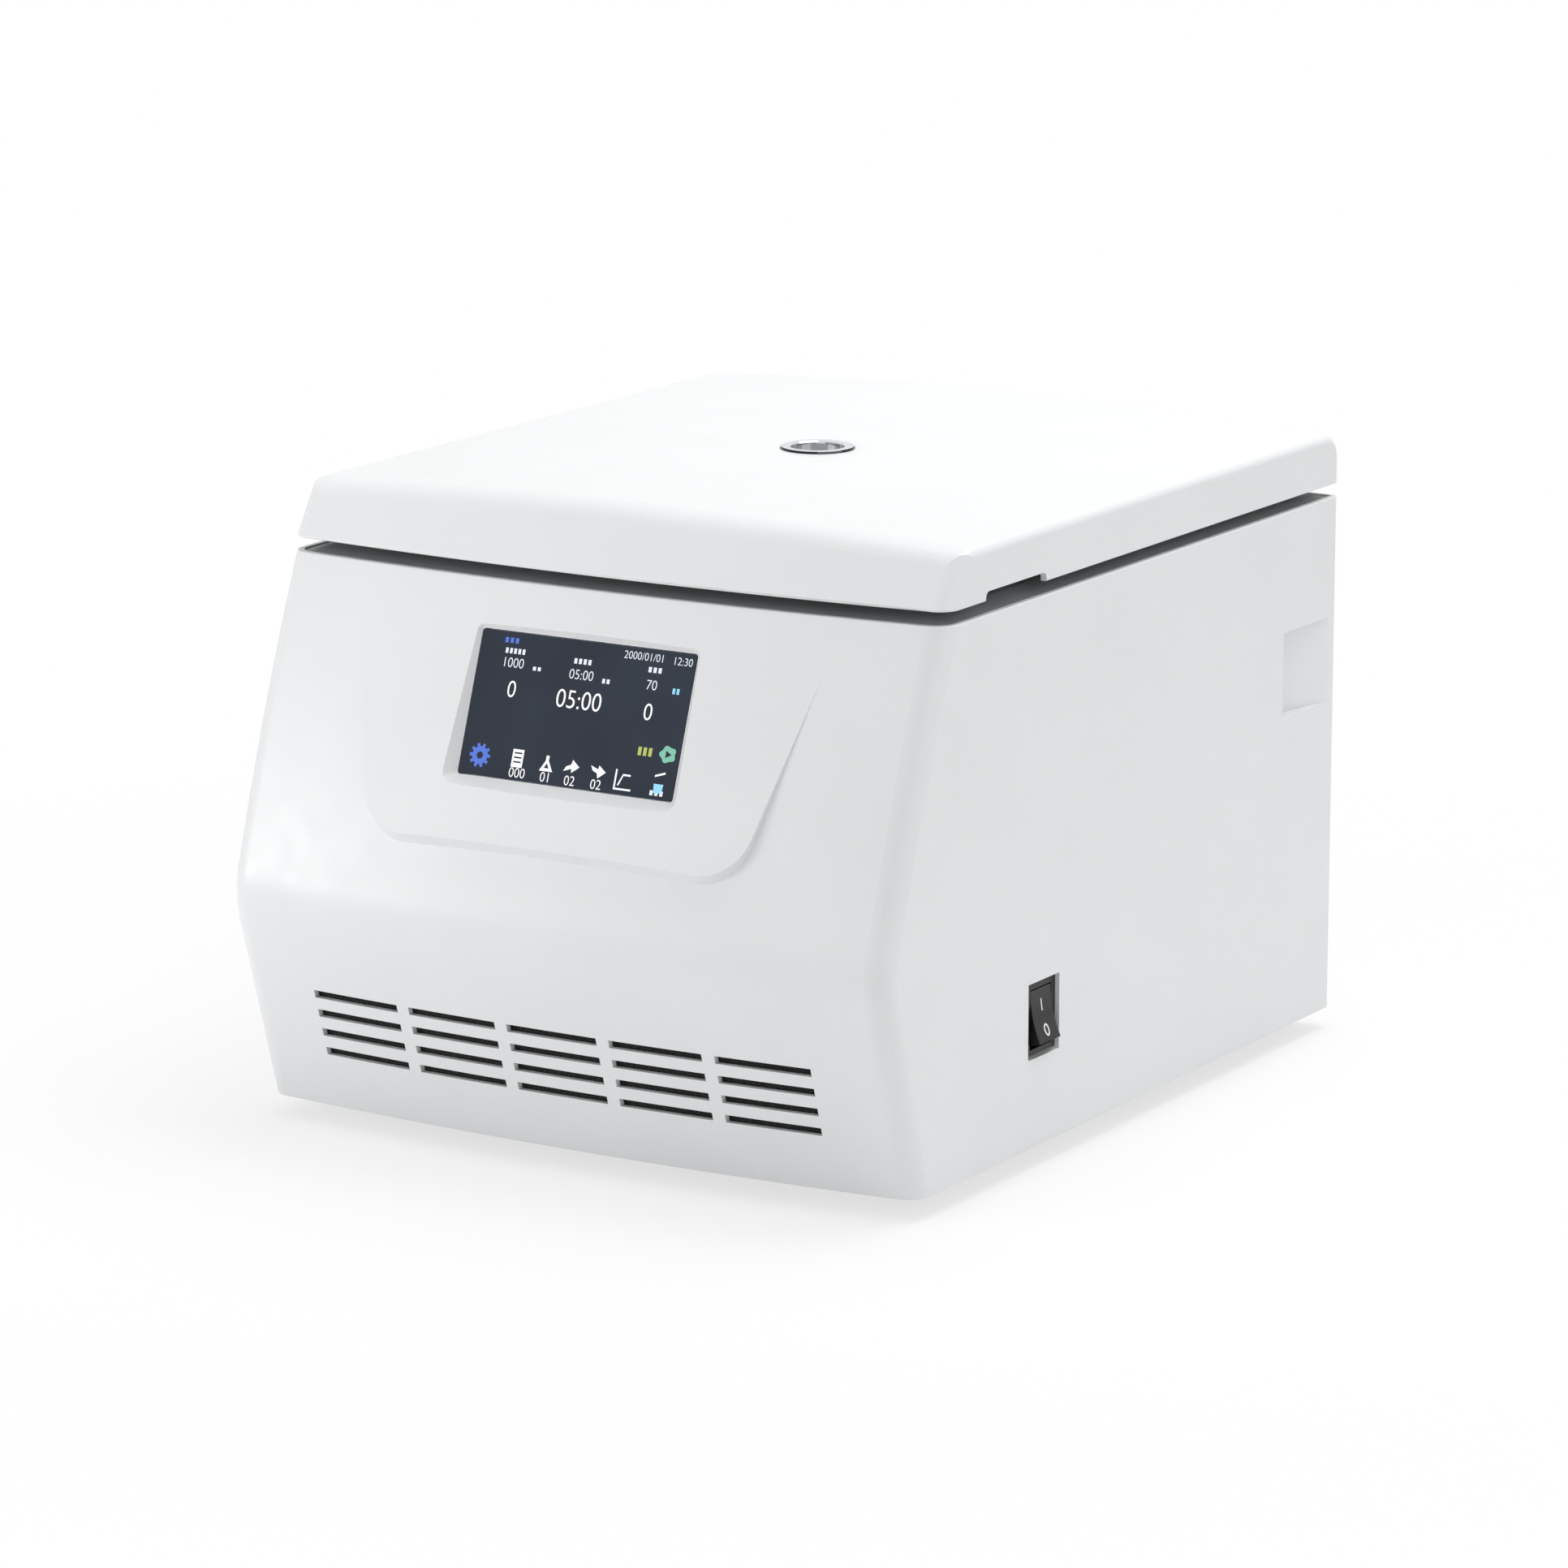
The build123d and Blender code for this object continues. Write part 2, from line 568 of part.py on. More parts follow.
def corner_cut(side, inset, z0):
    """Space outside a rounded front corner of the lid, drawn in by inset; side is 1 or -1."""
    r = LID_CORNER_R - inset
    x = HALF_W - LID_CORNER_R
    front = FRONT_Y + LID_SETBACK + inset / cos(radians(LID_LEAN))

    def outline(z):
        start = front + (z - LID_Z) * tan(radians(LID_LEAN))
        reach = FRONT_Y + BOW_R - start - r + CORNER_LIFT
        y = FRONT_Y + BOW_R - sqrt(reach**2 - x**2)
        square = Pos(side * (x + r), y - r) * Rectangle(2 * r, 2 * r)
        return Plane.XY.offset(z) * (square - Pos(side * x, y) * Circle(r + CORNER_LIFT))

    return loft([outline(z0), outline(LID_Z + LID_CROWN)])


# ---------------------------------------------------------------- control panel outline
PANEL_MID = (PANEL_LOW + PANEL_HIGH) / 2
PANEL_TURN_Z = BOTTOM_Z + PANEL_HIGH - UPPER_CZ
PANEL_TURN_Y = sqrt(UPPER_R**2 - PANEL_TURN_Z**2)
PANEL_LEAN = atan2(PANEL_TURN_Z, PANEL_TURN_Y)


def panel_y(height):
    """Panel's middle line at a height above the shell's bottom edge; it touches the front at its top."""
    return UPPER_CY - PANEL_TURN_Y + PANEL_SINK_TOP + (height - PANEL_HIGH) * tan(PANEL_LEAN)


def panel_plane(height, sink, tilt=0.0):
    """Plane along the panel at a height, sunk below it and steeper by tilt, with its normal outwards."""
    lean = PANEL_LEAN - radians(tilt)
    y = panel_y(height) + sink * cos(PANEL_LEAN)
    spot = (0, y, BOTTOM_Z + height - sink * sin(PANEL_LEAN))
    return Plane(origin=spot, x_dir=(1, 0, 0), z_dir=(0, -cos(lean), sin(lean)))


def screen_plane(sink=0.0):
    """Plane of the screen, sunk below its bezel."""
    return panel_plane(SCREEN_MID, SCREEN_SINK, SCREEN_TILT).offset(-sink)


def panel_outline(grow, foot_grow):
    """U-shaped outline of the panel on its plane; the origin is the middle of its height."""
    length = (PANEL_HIGH - PANEL_LOW) / cos(PANEL_LEAN)
    flare = tan(radians(PANEL_FLARE))
    foot = -length / 2 - foot_grow
    head = length / 2 + PANEL_OVERRUN
    side = PANEL_FOOT_W / 2 + grow - foot_grow * flare
    spread = side + (head - foot) * flare
    outline = Polyline((-side, foot), (side, foot), (spread, head), (-spread, head), close=True)
    face = make_face(outline)
    corners = face.vertices().group_by(Axis.Y)[0]
    return fillet(corners, PANEL_CORNER_R + grow)


def panel_raise(sink, grow):
    """Raised panel, sunk by sink and drawn out by grow, rooted in the front."""
    low, high = PANEL_LOW - PANEL_OVERRUN, PANEL_HIGH + PANEL_OVERRUN
    front = [(panel_y(h) + sink, BOTTOM_Z + h) for h in (low, high)]
    root = [(y + PANEL_ROOT, z) for y, z in reversed(front)]
    slab = Plane.YZ * make_face(Polyline(*front, *root, close=True))
    face = panel_plane(PANEL_MID, sink - PANEL_BOW)
    base = face.offset(-PANEL_ROOT)
    root_outline = base * panel_outline(grow, grow + PANEL_SLOPE)
    return bowed(slab) & loft([root_outline, face * panel_outline(grow, grow)])


def screen_pocket():
    """Sloped opening in the panel around the screen."""
    wide, tall = SCREEN_W + 3 * SCREEN_GAP, SCREEN_H + 3 * SCREEN_GAP
    grow = 2 * SCREEN_SLOPE
    inner = RectangleRounded(wide, tall, SCREEN_R)
    outer = RectangleRounded(wide + grow, tall + grow, SCREEN_SLOPE + SCREEN_R)
    mouth = screen_plane(-POCKET_D) * outer
    return loft([screen_plane() * inner, mouth]) + extrude(mouth, amount=POCKET_D)


# ---------------------------------------------------------------- housing
def vent_slots():
    """Rows of slots through the lower front."""
    slot = Box(VENT_L, 2 * VENT_REACH, VENT_H)
    places = GridLocations(VENT_PITCH_X, VENT_PITCH_Z, VENT_COLS, VENT_ROWS)
    field = Plane(origin=(0, FRONT_Y + VENT_REACH, BOTTOM_Z + VENT_MID), x_dir=(1, 0, 0), z_dir=(0, -1, 0))
    return [field * place * Rot(90, 0, 0) * slot for place in places]


def scoop(side):
    """Space scooped out of a side wall near the rear; side is 1 or -1."""
    y0, y1 = REAR_Y - SCOOP_FRONT, REAR_Y - SCOOP_REAR
    deep = side * (HALF_W - SCOOP_DEPTH)
    skin = side * (HALF_W + 1.0)
    face = make_face(Polyline((skin, y0), (deep, y0), (side * HALF_W, y1), (skin, y1), close=True))
    return Pos(0, 0, BOTTOM_Z + SCOOP_LOW) * extrude(face, amount=SCOOP_H)


def scoop_backing(side):
    """Wall behind the scoop."""
    y0, y1 = REAR_Y - SCOOP_FRONT - WALL, REAR_Y - SCOOP_REAR
    deep = HALF_W - SCOOP_DEPTH - WALL
    z0 = BOTTOM_Z + SCOOP_LOW - WALL
    low, high = sorted((side * deep, side * (HALF_W - WALL / 2)))
    return block(low, high, y0, y1, z0, z0 + SCOOP_H + 2 * WALL)


def switch_box(x0, x1, y, z):
    """Box around the switch's middle between x0 and x1; y and z are half sizes."""
    return block(x0, x1, SWITCH_Y - y, SWITCH_Y + y, SWITCH_MID - z, SWITCH_MID + z)


def switch_recess():
    """Opening in the side wall that holds the switch bezel, with the hole for its body."""
    seat = switch_box(SWITCH_BACK, HALF_W + 1, SWITCH_OPEN_Y / 2, SWITCH_OPEN_Z / 2)
    return seat + switch_box(SWITCH_BACK - SWITCH_CASE_D, HALF_W, CASE_Y + FIT_GAP, CASE_Z + FIT_GAP)


def switch_backing():
    """Thicker wall behind the switch recess."""
    y, z = SWITCH_OPEN_Y / 2 + WALL, SWITCH_OPEN_Z / 2 + WALL
    return switch_box(SWITCH_BACK - WALL, HALF_W - WALL / 2, y, z)


def rear_opening(grow, y0, y1):
    half = REAR_OPEN_W / 2 + grow
    low = BOTTOM_Z + REAR_OPEN_LOW
    return block(-half, half, y0, y1, low - grow, low + REAR_OPEN_H + grow)


def housing_shell():
    shell = round_rim(body_form(0, BOTTOM_Z, TOP_Z), TOP_Z, RIM_R) + panel_raise(0, 0)
    hollow = body_form(WALL, BOTTOM_Z - 1, TOP_Z + 1) + panel_raise(WALL, -WALL)
    window_back = screen_plane(WALL)
    grow = 2 * (SCREEN_SLOPE + WALL)
    backing = RectangleRounded(SCREEN_W + grow, SCREEN_H + grow, SCREEN_SLOPE)
    hollow -= extrude(window_back * backing, amount=4 * SCREEN_SLOPE)
    hollow -= scoop_backing(1)
    hollow -= scoop_backing(-1)
    hollow -= switch_backing()
    shell -= hollow
    ledge_z = DECK_Z - LEDGE_T
    shell += body_form(WALL / 2, ledge_z, DECK_Z) - body_form(WALL + LEDGE_W, ledge_z - 1, DECK_Z + 1)
    frame = rear_opening(REAR_FRAME, PANEL_FACE_Y - LEDGE_T, REAR_Y - WALL / 2)
    frame -= rear_opening(-REAR_FRAME, PANEL_FACE_Y - 2 * LEDGE_T, REAR_Y)
    shell += frame
    shell -= rear_opening(0, PANEL_FACE_Y, REAR_Y + 1)
    shell -= screen_pocket()
    window = RectangleRounded(SCREEN_W + 2 * SCREEN_GAP, SCREEN_H + 2 * SCREEN_GAP, SCREEN_R)
    shell -= extrude(window_back.offset(-1) * window, amount=3 * WALL)
    shell -= scoop(1)
    shell -= scoop(-1)
    shell -= switch_recess()
    shell -= vent_slots()
    return shell


def vent_filter():
    half = VENT_COLS * VENT_PITCH_X / 2 + FILTER_MARGIN
    tall = VENT_ROWS * VENT_PITCH_Z / 2 + FILTER_MARGIN
    low, high = BOTTOM_Z + VENT_MID - tall, BOTTOM_Z + VENT_MID + tall
    sheet = body_form(WALL, low, high) - body_form(WALL + FILTER_T, low - 1, high + 1)
    return sheet & block(-half, half, FRONT_Y, 0, low, high)


# ---------------------------------------------------------------- deck and chamber
def deck_outline(inset, z):
    """Flat face with the housing's outline at a height, drawn in by inset."""
    slab = body_form(inset, z, z + 1)
    return slab.faces().sort_by(Axis.Z)[0]


def latch_slot(z0, z1):
    """Slot that the lid's striker passes through."""
    x = STRIKER_T / 2 + BOLT_GAP
    y = STRIKER_W / 2 + STRIKER_SIDE_GAP
    return block(-x, x, LATCH_Y - y, LATCH_Y + y, z0, z1)


def post_places():
    x = HALF_W - POST_SIDE
    return [(side * x, y) for side in (-1, 1) for y in (FRONT_Y + POST_FRONT, REAR_Y - POST_REAR)]


def work_deck():
    edge = WALL + FIT_GAP
    skirt_top = DECK_Z + DECK_T
    deck = body_form(edge, DECK_Z, skirt_top)
    deck += loft([deck_outline(edge, skirt_top), deck_outline(edge + DECK_SLOPE_IN, DECK_SLOPE_TOP)])
    deck += body_form(STEP_INSET, skirt_top, DECK_TOP)
    deck -= body_form(STEP_INSET + DECK_SKIN, DECK_Z - 1, DECK_UNDER)
    deck -= block(-HALF_W, HALF_W, HINGE_FLAT_Y, REAR_Y, HINGE_FLAT_Z, DECK_TOP + 1)
    rim = CHAMBER_R + BOWL_T + BOWL_RIM_W
    deck -= post(0, ROTOR_Y, DECK_Z - 1, DECK_TOP + 1, CHAMBER_R + BOWL_T + FIT_GAP)
    deck -= post(0, ROTOR_Y, DECK_TOP - BOWL_T, DECK_TOP + 1, rim + FIT_GAP)
    for x, y in post_places():
        deck -= post(x, y, DECK_UNDER - 1, DECK_TOP + 1, SCREW_R + SCREW_GAP)
    return deck - latch_slot(DECK_Z, DECK_TOP + 1)


def deck_screws():
    shank = post(0, 0, DECK_UNDER - DECK_SCREW_L, DECK_TOP, SCREW_R)
    head = post(0, 0, DECK_TOP, DECK_TOP + SCREW_HEAD_H, SCREW_HEAD_R)
    slot = Box(2 * SCREW_HEAD_R, SCREW_SLOT, SCREW_HEAD_H)
    screw = shank + head - Pos(0, 0, DECK_TOP + SCREW_HEAD_H) * (slot + Rot(0, 0, 90) * slot)
    return [Pos(x, y, 0) * screw for x, y in post_places()]


def lid_buffers():
    """Rubber buttons that the lid's front comes down on."""
    top = LINER_Z - GASKET_GAP
    profile = [(0, DECK_TOP), (BUFFER_R, DECK_TOP), (BUFFER_R - 1, top), (0, top)]
    x = HALF_W - BUFFER_SIDE
    return [turned(profile, side * x, LATCH_Y) for side in (-1, 1)]


def chamber_bowl():
    r, t, knee = CHAMBER_R, BOWL_T, BOWL_KNEE_R
    rim = r + t + BOWL_RIM_W
    wall = [(r, DECK_TOP), (rim, DECK_TOP), (rim, DECK_TOP - t), (r + t, DECK_TOP - t)]
    floor = [(BOWL_HOLE_R, FLOOR_Z - t), (BOWL_HOLE_R, FLOOR_Z)]
    outline = Polyline(*wall, (r + t, FLOOR_Z + knee))
    outside = JernArc((r + t, FLOOR_Z + knee), (0, -1), knee + t, -90)
    inside = JernArc((r, FLOOR_Z + knee), (0, -1), knee, -90)
    bottom = Polyline(outside @ 1, *floor, inside @ 1)
    upright = Line((r, FLOOR_Z + knee), (r, DECK_TOP))
    face = Plane.XZ * make_face(Curve() + [outline, outside, bottom, inside, upright])
    return Pos(0, ROTOR_Y, 0) * revolve(face, Axis.Z)


def chamber_gasket():
    r_in = CHAMBER_R + GASKET_INSET
    r_out = r_in + GASKET_W
    foot, top = DECK_TOP + GASKET_FOOT_H, LINER_Z - GASKET_GAP
    third = GASKET_W / 3
    lip = [(r_out - third, top), (r_in + third, top)]
    return turned([(r_in, DECK_TOP), (r_out, DECK_TOP), (r_out, foot), *lip, (r_in, foot)], 0, ROTOR_Y)


def guard_ring():
    r_in = CHAMBER_R + BOWL_T + GUARD_GAP
    return tube(0, ROTOR_Y, DECK_UNDER - GUARD_H, DECK_UNDER, r_in + GUARD_T, r_in)


def frame_posts():
    solid = post(0, 0, PLATE_TOP, DECK_UNDER, POST_R)
    solid -= post(0, 0, DECK_UNDER - DECK_SCREW_L - 1, DECK_UNDER + 1, SCREW_R + RUN_GAP)
    return [Pos(x, y, 0) * solid for x, y in post_places()]


def shaft_seal():
    """Bellows between the motor and the bowl."""
    low, high = BOSS_TOP, FLOOR_Z - BOWL_T
    r_in, r_out = BOSS_R - SEAL_W, BOSS_R
    mid = (low + high) / 2
    outside = [(r_out, low), (r_out, low + SEAL_LIP), (r_out - SEAL_LIP, mid), (r_out, high - SEAL_LIP)]
    inside = [(r_out, high), (r_in, high), (r_in - SEAL_FOLD, mid), (r_in, low)]
    return turned(outside + inside, 0, ROTOR_Y)


# ---------------------------------------------------------------- base and drive
def base_plate():
    plate = body_form(WALL + FIT_GAP, PLATE_Z, PLATE_TOP)
    for x, y in foot_places():
        plate -= post(x, y, PLATE_Z - 1, PLATE_TOP + 1, FOOT_SCREW_R + SCREW_GAP)
    return plate


def foot_places():
    return [(x, y) for x in (-FOOT_X, FOOT_X) for y in (FOOT_FRONT_Y, FOOT_REAR_Y)]


def foot():
    top, bore = PLATE_Z, FOOT_SCREW_R + SCREW_GAP
    cup, roof = FOOT_SCREW_R + FOOT_CUP_GAP, PLATE_Z - FOOT_CUP_ROOF
    taper = FOOT_R - FOOT_TAPER
    profile = [(bore, top), (FOOT_R, top), (FOOT_R, top - FOOT_PAD), (taper, FOOT_EDGE)]
    profile += [(taper - FOOT_EDGE, 0), (cup, 0), (cup, roof), (bore, roof)]
    return turned(profile)


def foot_screw():
    roof = PLATE_Z - FOOT_CUP_ROOF
    head = post(0, 0, roof - FOOT_SCREW_HEAD_H, roof, FOOT_SCREW_R + FOOT_SCREW_HEAD)
    return head + post(0, 0, roof, PLATE_TOP + FOOT_SCREW_END, FOOT_SCREW_R)


def motor_dampers():
    half = DAMPER_PITCH / 2
    waist = DAMPER_R - DAMPER_WAIST
    low, high = PLATE_TOP, MOTOR_PLATE_Z
    lower, upper = low + DAMPER_FLANGE, high - DAMPER_FLANGE
    profile = [(0, low), (DAMPER_R, low), (DAMPER_R, lower), (waist, lower + DAMPER_SLOPE)]
    profile += [(waist, upper - DAMPER_SLOPE), (DAMPER_R, upper), (DAMPER_R, high), (0, high)]
    return [turned(profile, x, ROTOR_Y + y) for x in (-half, half) for y in (-half, half)]


def motor_plate():
    outline = RectangleRounded(MOTOR_PLATE_W, MOTOR_PLATE_W, DAMPER_R)
    plate = Pos(0, ROTOR_Y, MOTOR_PLATE_Z) * extrude(outline, amount=MOTOR_PLATE_T)
    return plate - post(0, ROTOR_Y, MOTOR_PLATE_Z - 1, MOTOR_Z + 1, 3 * SHAFT_R)


def motor_housing():
    core = MOTOR_R - FIN_H
    low, high = MOTOR_Z + END_BELL_H, MOTOR_TOP - END_BELL_H
    profile = [(0, MOTOR_Z), (MOTOR_R, MOTOR_Z), (MOTOR_R, low), (core, low + END_BELL_SLOPE)]
    profile += [(core, high - END_BELL_SLOPE), (MOTOR_R, high), (MOTOR_R, MOTOR_TOP), (BOSS_R, MOTOR_TOP)]
    profile += [(BOSS_R, BOSS_TOP), (0, BOSS_TOP)]
    motor = turned(profile, 0, ROTOR_Y)
    fin = block(core - 1, MOTOR_R, -FIN_T / 2, FIN_T / 2, low - 1, high + 1)
    motor += [Pos(0, ROTOR_Y, 0) * Rot(0, 0, 360 * i / MOTOR_FINS) * fin for i in range(MOTOR_FINS)]
    return motor - post(0, ROTOR_Y, MOTOR_Z + SHAFT_SEAT, BOSS_TOP + 1, SHAFT_R + RUN_GAP)


def motor_shaft():
    low, collar = MOTOR_Z + SHAFT_SEAT + SHAFT_FLOAT, HUB_Z - COLLAR_H
    cone_top = HUB_Z + CONE_H
    profile = [(0, low), (SHAFT_R, low), (SHAFT_R, collar), (COLLAR_R, collar), (COLLAR_R, HUB_Z)]
    profile += [(CONE_R, HUB_Z), (SHAFT_R, cone_top), (THREAD_R, cone_top)]
    profile += [(THREAD_R, cone_top + THREAD_L), (0, cone_top + THREAD_L)]
    return turned(profile, 0, ROTOR_Y)


# ---------------------------------------------------------------- rotor and carriers
def at_station(index):
    """Place of a carrier pin: X outwards from the rotor's axis, Y along the pin."""
    turn = Rot(0, 0, 360 * index / STATIONS - 90)
    return Pos(0, ROTOR_Y, 0) * turn * Pos(PIVOT_R, 0, PIVOT_Z)


def ear(side):
    """Ear that holds one end of a carrier pin; side is 1 or -1."""
    y = CARRIER_W / 2 + EAR_GAP
    y0, y1 = sorted((side * y, side * (y + EAR_T)))
    foot_z = DISC_TOP - PIVOT_Z - 1
    return block(-EAR_HALF, EAR_HALF, y0, y1, foot_z, 0) + bar_y(y0, y1, 0, 0, EAR_HALF)


def rotor_head():
    cone_top = HUB_Z + CONE_H
    inner, high = ROTOR_R - RIM_T, DISC_Z + RIM_H
    profile = [(CONE_R + SEAT_GAP, HUB_Z), (HUB_R, HUB_Z), (HUB_R, DISC_Z), (inner, DISC_Z)]
    profile += [(ROTOR_R, DISC_Z + RIM_T), (ROTOR_R, high), (inner, high), (inner, DISC_TOP)]
    profile += [(HUB_R + HUB_FLARE, DISC_TOP), (HUB_R, DISC_TOP + HUB_FLARE), (HUB_R, HUB_TOP)]
    bore = THREAD_R + SEAT_GAP
    profile += [(bore, HUB_TOP), (bore, cone_top), (SHAFT_R + SEAT_GAP, cone_top)]
    head = turned(profile, 0, ROTOR_Y)
    reach = CARRIER_W / 2 + EAR_GAP + EAR_T + 1
    pin_hole = bar_y(-reach, reach, 0, 0, PIN_R + PIN_GAP)
    for i in range(STATIONS):
        head += [at_station(i) * ear(side) for side in (-1, 1)]
        head -= at_station(i) * pin_hole
        head += at_station(i) * heel_pad()
    return head


def heel_pad():
    """Pad on the rotor disc that the leaning carrier's heel rests on."""
    lean = radians(CARRIER_LEAN)
    heel_x = -CARRIER_D / 2 * cos(lean) + CARRIER_FOOT * sin(lean)
    heel_z = -CARRIER_D / 2 * sin(lean) - CARRIER_FOOT * cos(lean)
    x, y = PAD_T / 2, CARRIER_W / 2
    return block(heel_x - x, heel_x + x, -y, y, DISC_TOP - PIVOT_Z - 1, heel_z - HEEL_GAP)


def carrier_pins():
    half = CARRIER_W / 2 + EAR_GAP + EAR_T
    return [at_station(i) * Rot(90, 0, 0) * Cylinder(PIN_R, 2 * half) for i in range(STATIONS)]


def carrier_clip():
    """Slide clip about its pin: X outwards, Z up, standing upright."""
    x, y, t = CARRIER_D / 2, CARRIER_W / 2, CARRIER_T
    side_top, shelf = CARRIER_H - CARRIER_TAB, PIN_R + SHELF_GAP
    clip = block(-x, x, -y, y, -CARRIER_FOOT, side_top)
    clip -= block(-x - 1, x - t, -y + t, y - t, -CARRIER_FOOT - 1, CARRIER_H)
    clip += block(x - t, x, -y, y, side_top - 1, CARRIER_H)
    clip += block(-x, x, -y, y, shelf, shelf + t)
    clip += block(-x, -x + t, -y, y, CARRIER_H - STRAP_DROP - STRAP_H, CARRIER_H - STRAP_DROP)
    return clip - bar_y(-CARRIER_W, CARRIER_W, 0, 0, PIN_R + RUN_GAP)


def sample_funnel():
    """Sample chamber clipped against the carrier's back plate."""
    face = CARRIER_D / 2 - CARRIER_T
    y = CARRIER_W / 2 - CARRIER_T - FUNNEL_SIDE_GAP
    low = PIN_R + SHELF_GAP + CARRIER_T
    port_z = low + PORT_RISE
    cup_x = -CARRIER_D / 2 - CUP_R - CUP_SETBACK
    cup_low = port_z - CUP_BELOW
    cup_high = cup_low + CUP_H
    body = block(face - FUNNEL_T, face, -y, y, low, CARRIER_H - FUNNEL_DROP)
    body += bar_x(cup_x, face - FUNNEL_T / 2, 0, port_z, PORT_R + PORT_WALL)
    body += post(cup_x, 0, cup_low, cup_high, CUP_R)
    body -= post(cup_x, 0, cup_low + CUP_FLOOR, cup_high + 1, CUP_BORE_R)
    return body - bar_x(cup_x, face + 1, 0, port_z, PORT_R)


def on_carrier(index, shape):
    """Piece set on a carrier, leaning as it rests."""
    return at_station(index) * Rot(0, -CARRIER_LEAN, 0) * shape


def rotor_knob():
    low, high, bore = HUB_TOP, HUB_TOP + KNOB_H, THREAD_R + SEAT_GAP
    profile = [(bore, low), (KNOB_R - KNOB_CHAMFER, low), (KNOB_R, low + KNOB_CHAMFER)]
    profile += [(KNOB_R, high - KNOB_CROWN), (KNOB_R - KNOB_CROWN, high), (0, high)]
    profile += [(0, high - KNOB_ROOF), (bore, high - KNOB_ROOF)]
    flute = post(KNOB_R + FLUTE_OUT, 0, low - 1, high + 1, FLUTE_R)
    flutes = [Pos(0, ROTOR_Y, 0) * Rot(0, 0, 360 * i / KNOB_LOBES) * flute for i in range(KNOB_LOBES)]
    return turned(profile, 0, ROTOR_Y) - flutes


# ---------------------------------------------------------------- lid
def lid_bosses():
    """Middle of each boss that the liner is screwed to."""
    x = HALF_W - BOSS_SIDE
    return [(side * x, y) for side in (-1, 1) for y in (FRONT_Y + BOSS_FRONT, REAR_Y - BOSS_REAR)]


def lid_notch(side):
    """Finger notch in the lid's lower side edge; side is 1 or -1."""
    y0 = FRONT_Y + NOTCH_FRONT
    low = LID_Z - NOTCH_R
    face = Plane.YZ * Pos(y0 + NOTCH_L / 2, (low + LID_Z + NOTCH_H) / 2)
    face = face * RectangleRounded(NOTCH_L, NOTCH_H + NOTCH_R, NOTCH_R - 0.5)
    x = HALF_W - LID_SIDE_R if side > 0 else -HALF_W - LID_SIDE_R
    return Pos(x, 0, 0) * extrude(face, amount=2 * LID_SIDE_R)


def lid_shell():
    shell = round_rim(lid_form(0, LID_Z), LID_Z, RIM_R) - lid_form(LID_WALL, LID_Z - 2 * LID_WALL)
    inside = lid_form(LID_WALL / 2, LID_Z)
    for x, y in lid_bosses():
        shell += post(x, y, LINER_TOP, LID_Z + LID_CROWN, LID_BOSS_R) & inside
        shell -= post(x, y, LINER_TOP - 1, LINER_TOP + LID_SCREW_L + 1, SCREW_R + RUN_GAP)
    shell -= post(0, ROTOR_Y, LID_Z, LID_Z + 2 * LID_CROWN, PORT_SLEEVE_R + PORT_SLEEVE_GAP)
    dish_r = (DISH_R**2 + DISH_DEPTH**2) / (2 * DISH_DEPTH)
    shell -= Pos(0, ROTOR_Y, CROWN_Z - DISH_DEPTH + dish_r) * Sphere(dish_r)
    return shell - lid_notch(1) - lid_notch(-1)


def lid_liner():
    inside = lid_form(LID_WALL + FIT_GAP, LID_Z - LID_WALL)
    liner = inside & block(-HALF_W, HALF_W, FRONT_Y, REAR_Y, LINER_Z, LINER_TOP)
    low, high = LINER_Z - 1, LINER_TOP + 1
    liner -= post(0, ROTOR_Y, low, high, PORT_SLEEVE_R + PORT_SLEEVE_GAP)
    liner -= [post(x, y, low, high, SCREW_R + SCREW_GAP) for x, y in lid_bosses()]
    gap = HINGE_ARM_W / 2 + HINGE_EAR_T + 3 * HINGE_SIDE_GAP
    notch_y = HINGE_FLAT_Y - 2 * HINGE_BASE_GAP
    return liner - both_hinges(block(-gap, gap, notch_y, REAR_Y, low, high))


def lid_screws():
    shank = post(0, 0, LINER_Z, LINER_TOP + LID_SCREW_L, SCREW_R)
    head = post(0, 0, LINER_Z - SCREW_HEAD_H, LINER_Z, SCREW_HEAD_R)
    slot = Box(2 * SCREW_HEAD_R, SCREW_SLOT, SCREW_HEAD_H)
    screw = shank + head - Pos(0, 0, LINER_Z - SCREW_HEAD_H) * (slot + Rot(0, 0, 90) * slot)
    return [Pos(x, y, 0) * screw for x, y in lid_bosses()]


def window_ring():
    """Bezel with a sleeve down through the lid."""
    r, bore, z = PORT_SLEEVE_R, PORT_SLEEVE_R - PORT_SLEEVE_T, CROWN_Z - DISH_DEPTH
    seat, top, c = z + PORT_RING_LIFT, z + PORT_RING_H, PORT_CHAMFER
    profile = [(bore, LINER_Z), (r, LINER_Z), (r, seat), (PORT_RING_R, seat), (PORT_RING_R, top - c)]
    profile += [(PORT_RING_R - c, top), (bore + c, top), (bore, top - c)]
    return turned(profile, 0, ROTOR_Y)


def window_pane():
    top = CROWN_Z - DISH_DEPTH + PORT_RING_H - PORT_PANE_SINK
    return post(0, ROTOR_Y, top - PORT_PANE_T, top, PORT_SLEEVE_R - PORT_SLEEVE_T - RUN_GAP)


